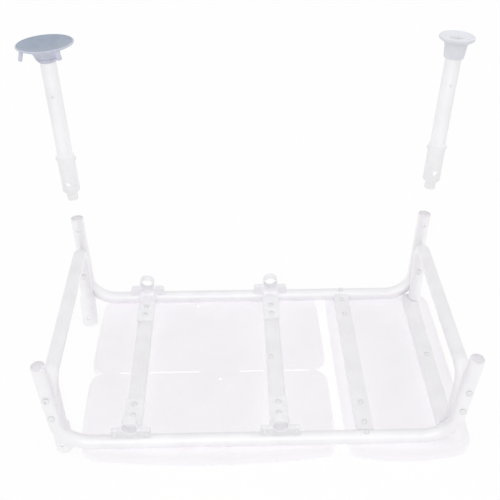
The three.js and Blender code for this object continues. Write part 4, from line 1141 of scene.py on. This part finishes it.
# Floor, light and world
studio = {
    "floorSize": 30,
    "floorThickness": 0.02,
    "floorMiddle": -0.0102,    # its top lies 0.2 mm under the bench
    "floorColour": "#fbfbfb",
    "floorGlow": 0.85,         # share of the floor that is lit from below, as on a light table
    "floorCentre": (0, -0.1, 0),
    # distance from that centre, and strength there, of the floor as reflections see it
    "mirrorClose": (0.35, 1.01),
    "mirrorNear": (0.75, 1.06),
    "mirrorFar": (1.2, 0.78),
    "floorBounce": 0.7,        # its strength as light on matt surfaces
    "frontLight": 1.0,         # strength of the sky in front and overhead
    "backLight": 0.84,         # and low behind the bench, which darkens the tubes' edges
    "backStart": 0.15,         # Y of the direction where the fade starts, and where it ends
    "backEnd": 0.95,
    "lampTarget": (0, 0, 0.1),
    # overhead, for matt surfaces alone, and behind the camera, for the gleam on the tubes
    "softboxes": {
        "overhead": {"watts": 2.0, "size": 1.2, "place": (-0.1, -0.9, 1.9), "hiddenFrom": "visible_glossy"},
        "frontal": {"watts": 1.7, "size": 1.2, "place": (-0.1, -1.65, 1.25), "hiddenFrom": "visible_diffuse"},
    },
}


def makeFloor(values):
    size = (values["floorSize"], values["floorSize"], values["floorThickness"])
    mesh = blockMesh("floor", size, (0, 0, values["floorMiddle"]))
    floor = looseObject(mesh, "floor")
    material, tree, surface, place = newFinish("floorPaper", {
        "Base Color": linearColour(values["floorColour"]), "Roughness": 0.9})
    ray = addNode(tree, "LightPath")
    away = addNode(tree, "VectorMath", {"operation": "DISTANCE", 1: values["floorCentre"]}, {0: place})
    closeAt, closeLight = values["mirrorClose"]
    nearAt, nearLight = values["mirrorNear"]
    farAt, farLight = values["mirrorFar"]
    around = addNode(tree, "MapRange", {
        "interpolation_type": "SMOOTHSTEP", "From Min": closeAt, "From Max": nearAt,
        "To Min": closeLight, "To Max": nearLight}, {"Value": away.outputs["Value"]})
    mirrored = addNode(tree, "MapRange", {
        "interpolation_type": "SMOOTHSTEP", "From Min": nearAt, "From Max": farAt, "To Max": farLight},
        {"Value": away.outputs["Value"], "To Min": around.outputs["Result"]})
    matt = addNode(tree, "MapRange", {
        "To Min": 1.0, "To Max": values["floorBounce"]}, {"Value": ray.outputs["Is Diffuse Ray"]})
    strength = addNode(tree, "MapRange", links={
        "Value": ray.outputs["Is Glossy Ray"], "To Min": matt.outputs["Result"],
        "To Max": mirrored.outputs["Result"]})
    white = addNode(tree, "Emission", {"Color": (1, 1, 1, 1)}, {"Strength": strength.outputs["Result"]})
    mix = addNode(tree, "MixShader", {"Fac": values["floorGlow"]}, {
        1: surface.outputs["BSDF"], 2: white.outputs["Emission"]})
    output = next(node for node in tree.nodes if node.type == "OUTPUT_MATERIAL")
    tree.links.new(mix.outputs["Shader"], output.inputs["Surface"])
    mesh.materials.append(material)


def makeWorld(values):
    # plain white to the camera; as light, the sky fades a little towards the back
    world = bpy.data.worlds.new("studioWorld")
    bpy.context.scene.world = world
    world.use_nodes = True
    tree = world.node_tree
    tree.nodes.clear()
    direction = addNode(tree, "TexCoord").outputs["Generated"]
    parts = addNode(tree, "SeparateXYZ", links={"Vector": direction})
    sky = addNode(tree, "MapRange", {
        "interpolation_type": "SMOOTHSTEP", "From Min": values["backStart"], "From Max": values["backEnd"],
        "To Min": values["frontLight"], "To Max": values["backLight"]}, {"Value": parts.outputs["Y"]})
    ray = addNode(tree, "LightPath")
    strength = addNode(tree, "MapRange", {"To Max": 1.0}, {
        "Value": ray.outputs["Is Camera Ray"], "To Min": sky.outputs["Result"]})
    white = addNode(tree, "Background", {"Color": (1, 1, 1, 1)}, {"Strength": strength.outputs["Result"]})
    addNode(tree, "OutputWorld", links={"Surface": white.outputs["Background"]})


def makeSoftbox(name, values, target):
    data = bpy.data.lights.new(name, "AREA")
    data.energy = values["watts"]
    data.size = values["size"]
    light = bpy.data.objects.new(name, data)
    light.location = values["place"]
    light.rotation_euler = (Vector(target) - light.location).to_track_quat("-Z", "Y").to_euler()
    setattr(light, values["hiddenFrom"], False)
    bpy.context.collection.objects.link(light)


makeFloor(studio)
makeWorld(studio)
for name, softbox in studio["softboxes"].items():
    makeSoftbox(name, softbox, studio["lampTarget"])
bpy.context.scene.view_settings.view_transform = "Standard"
print("studio set")
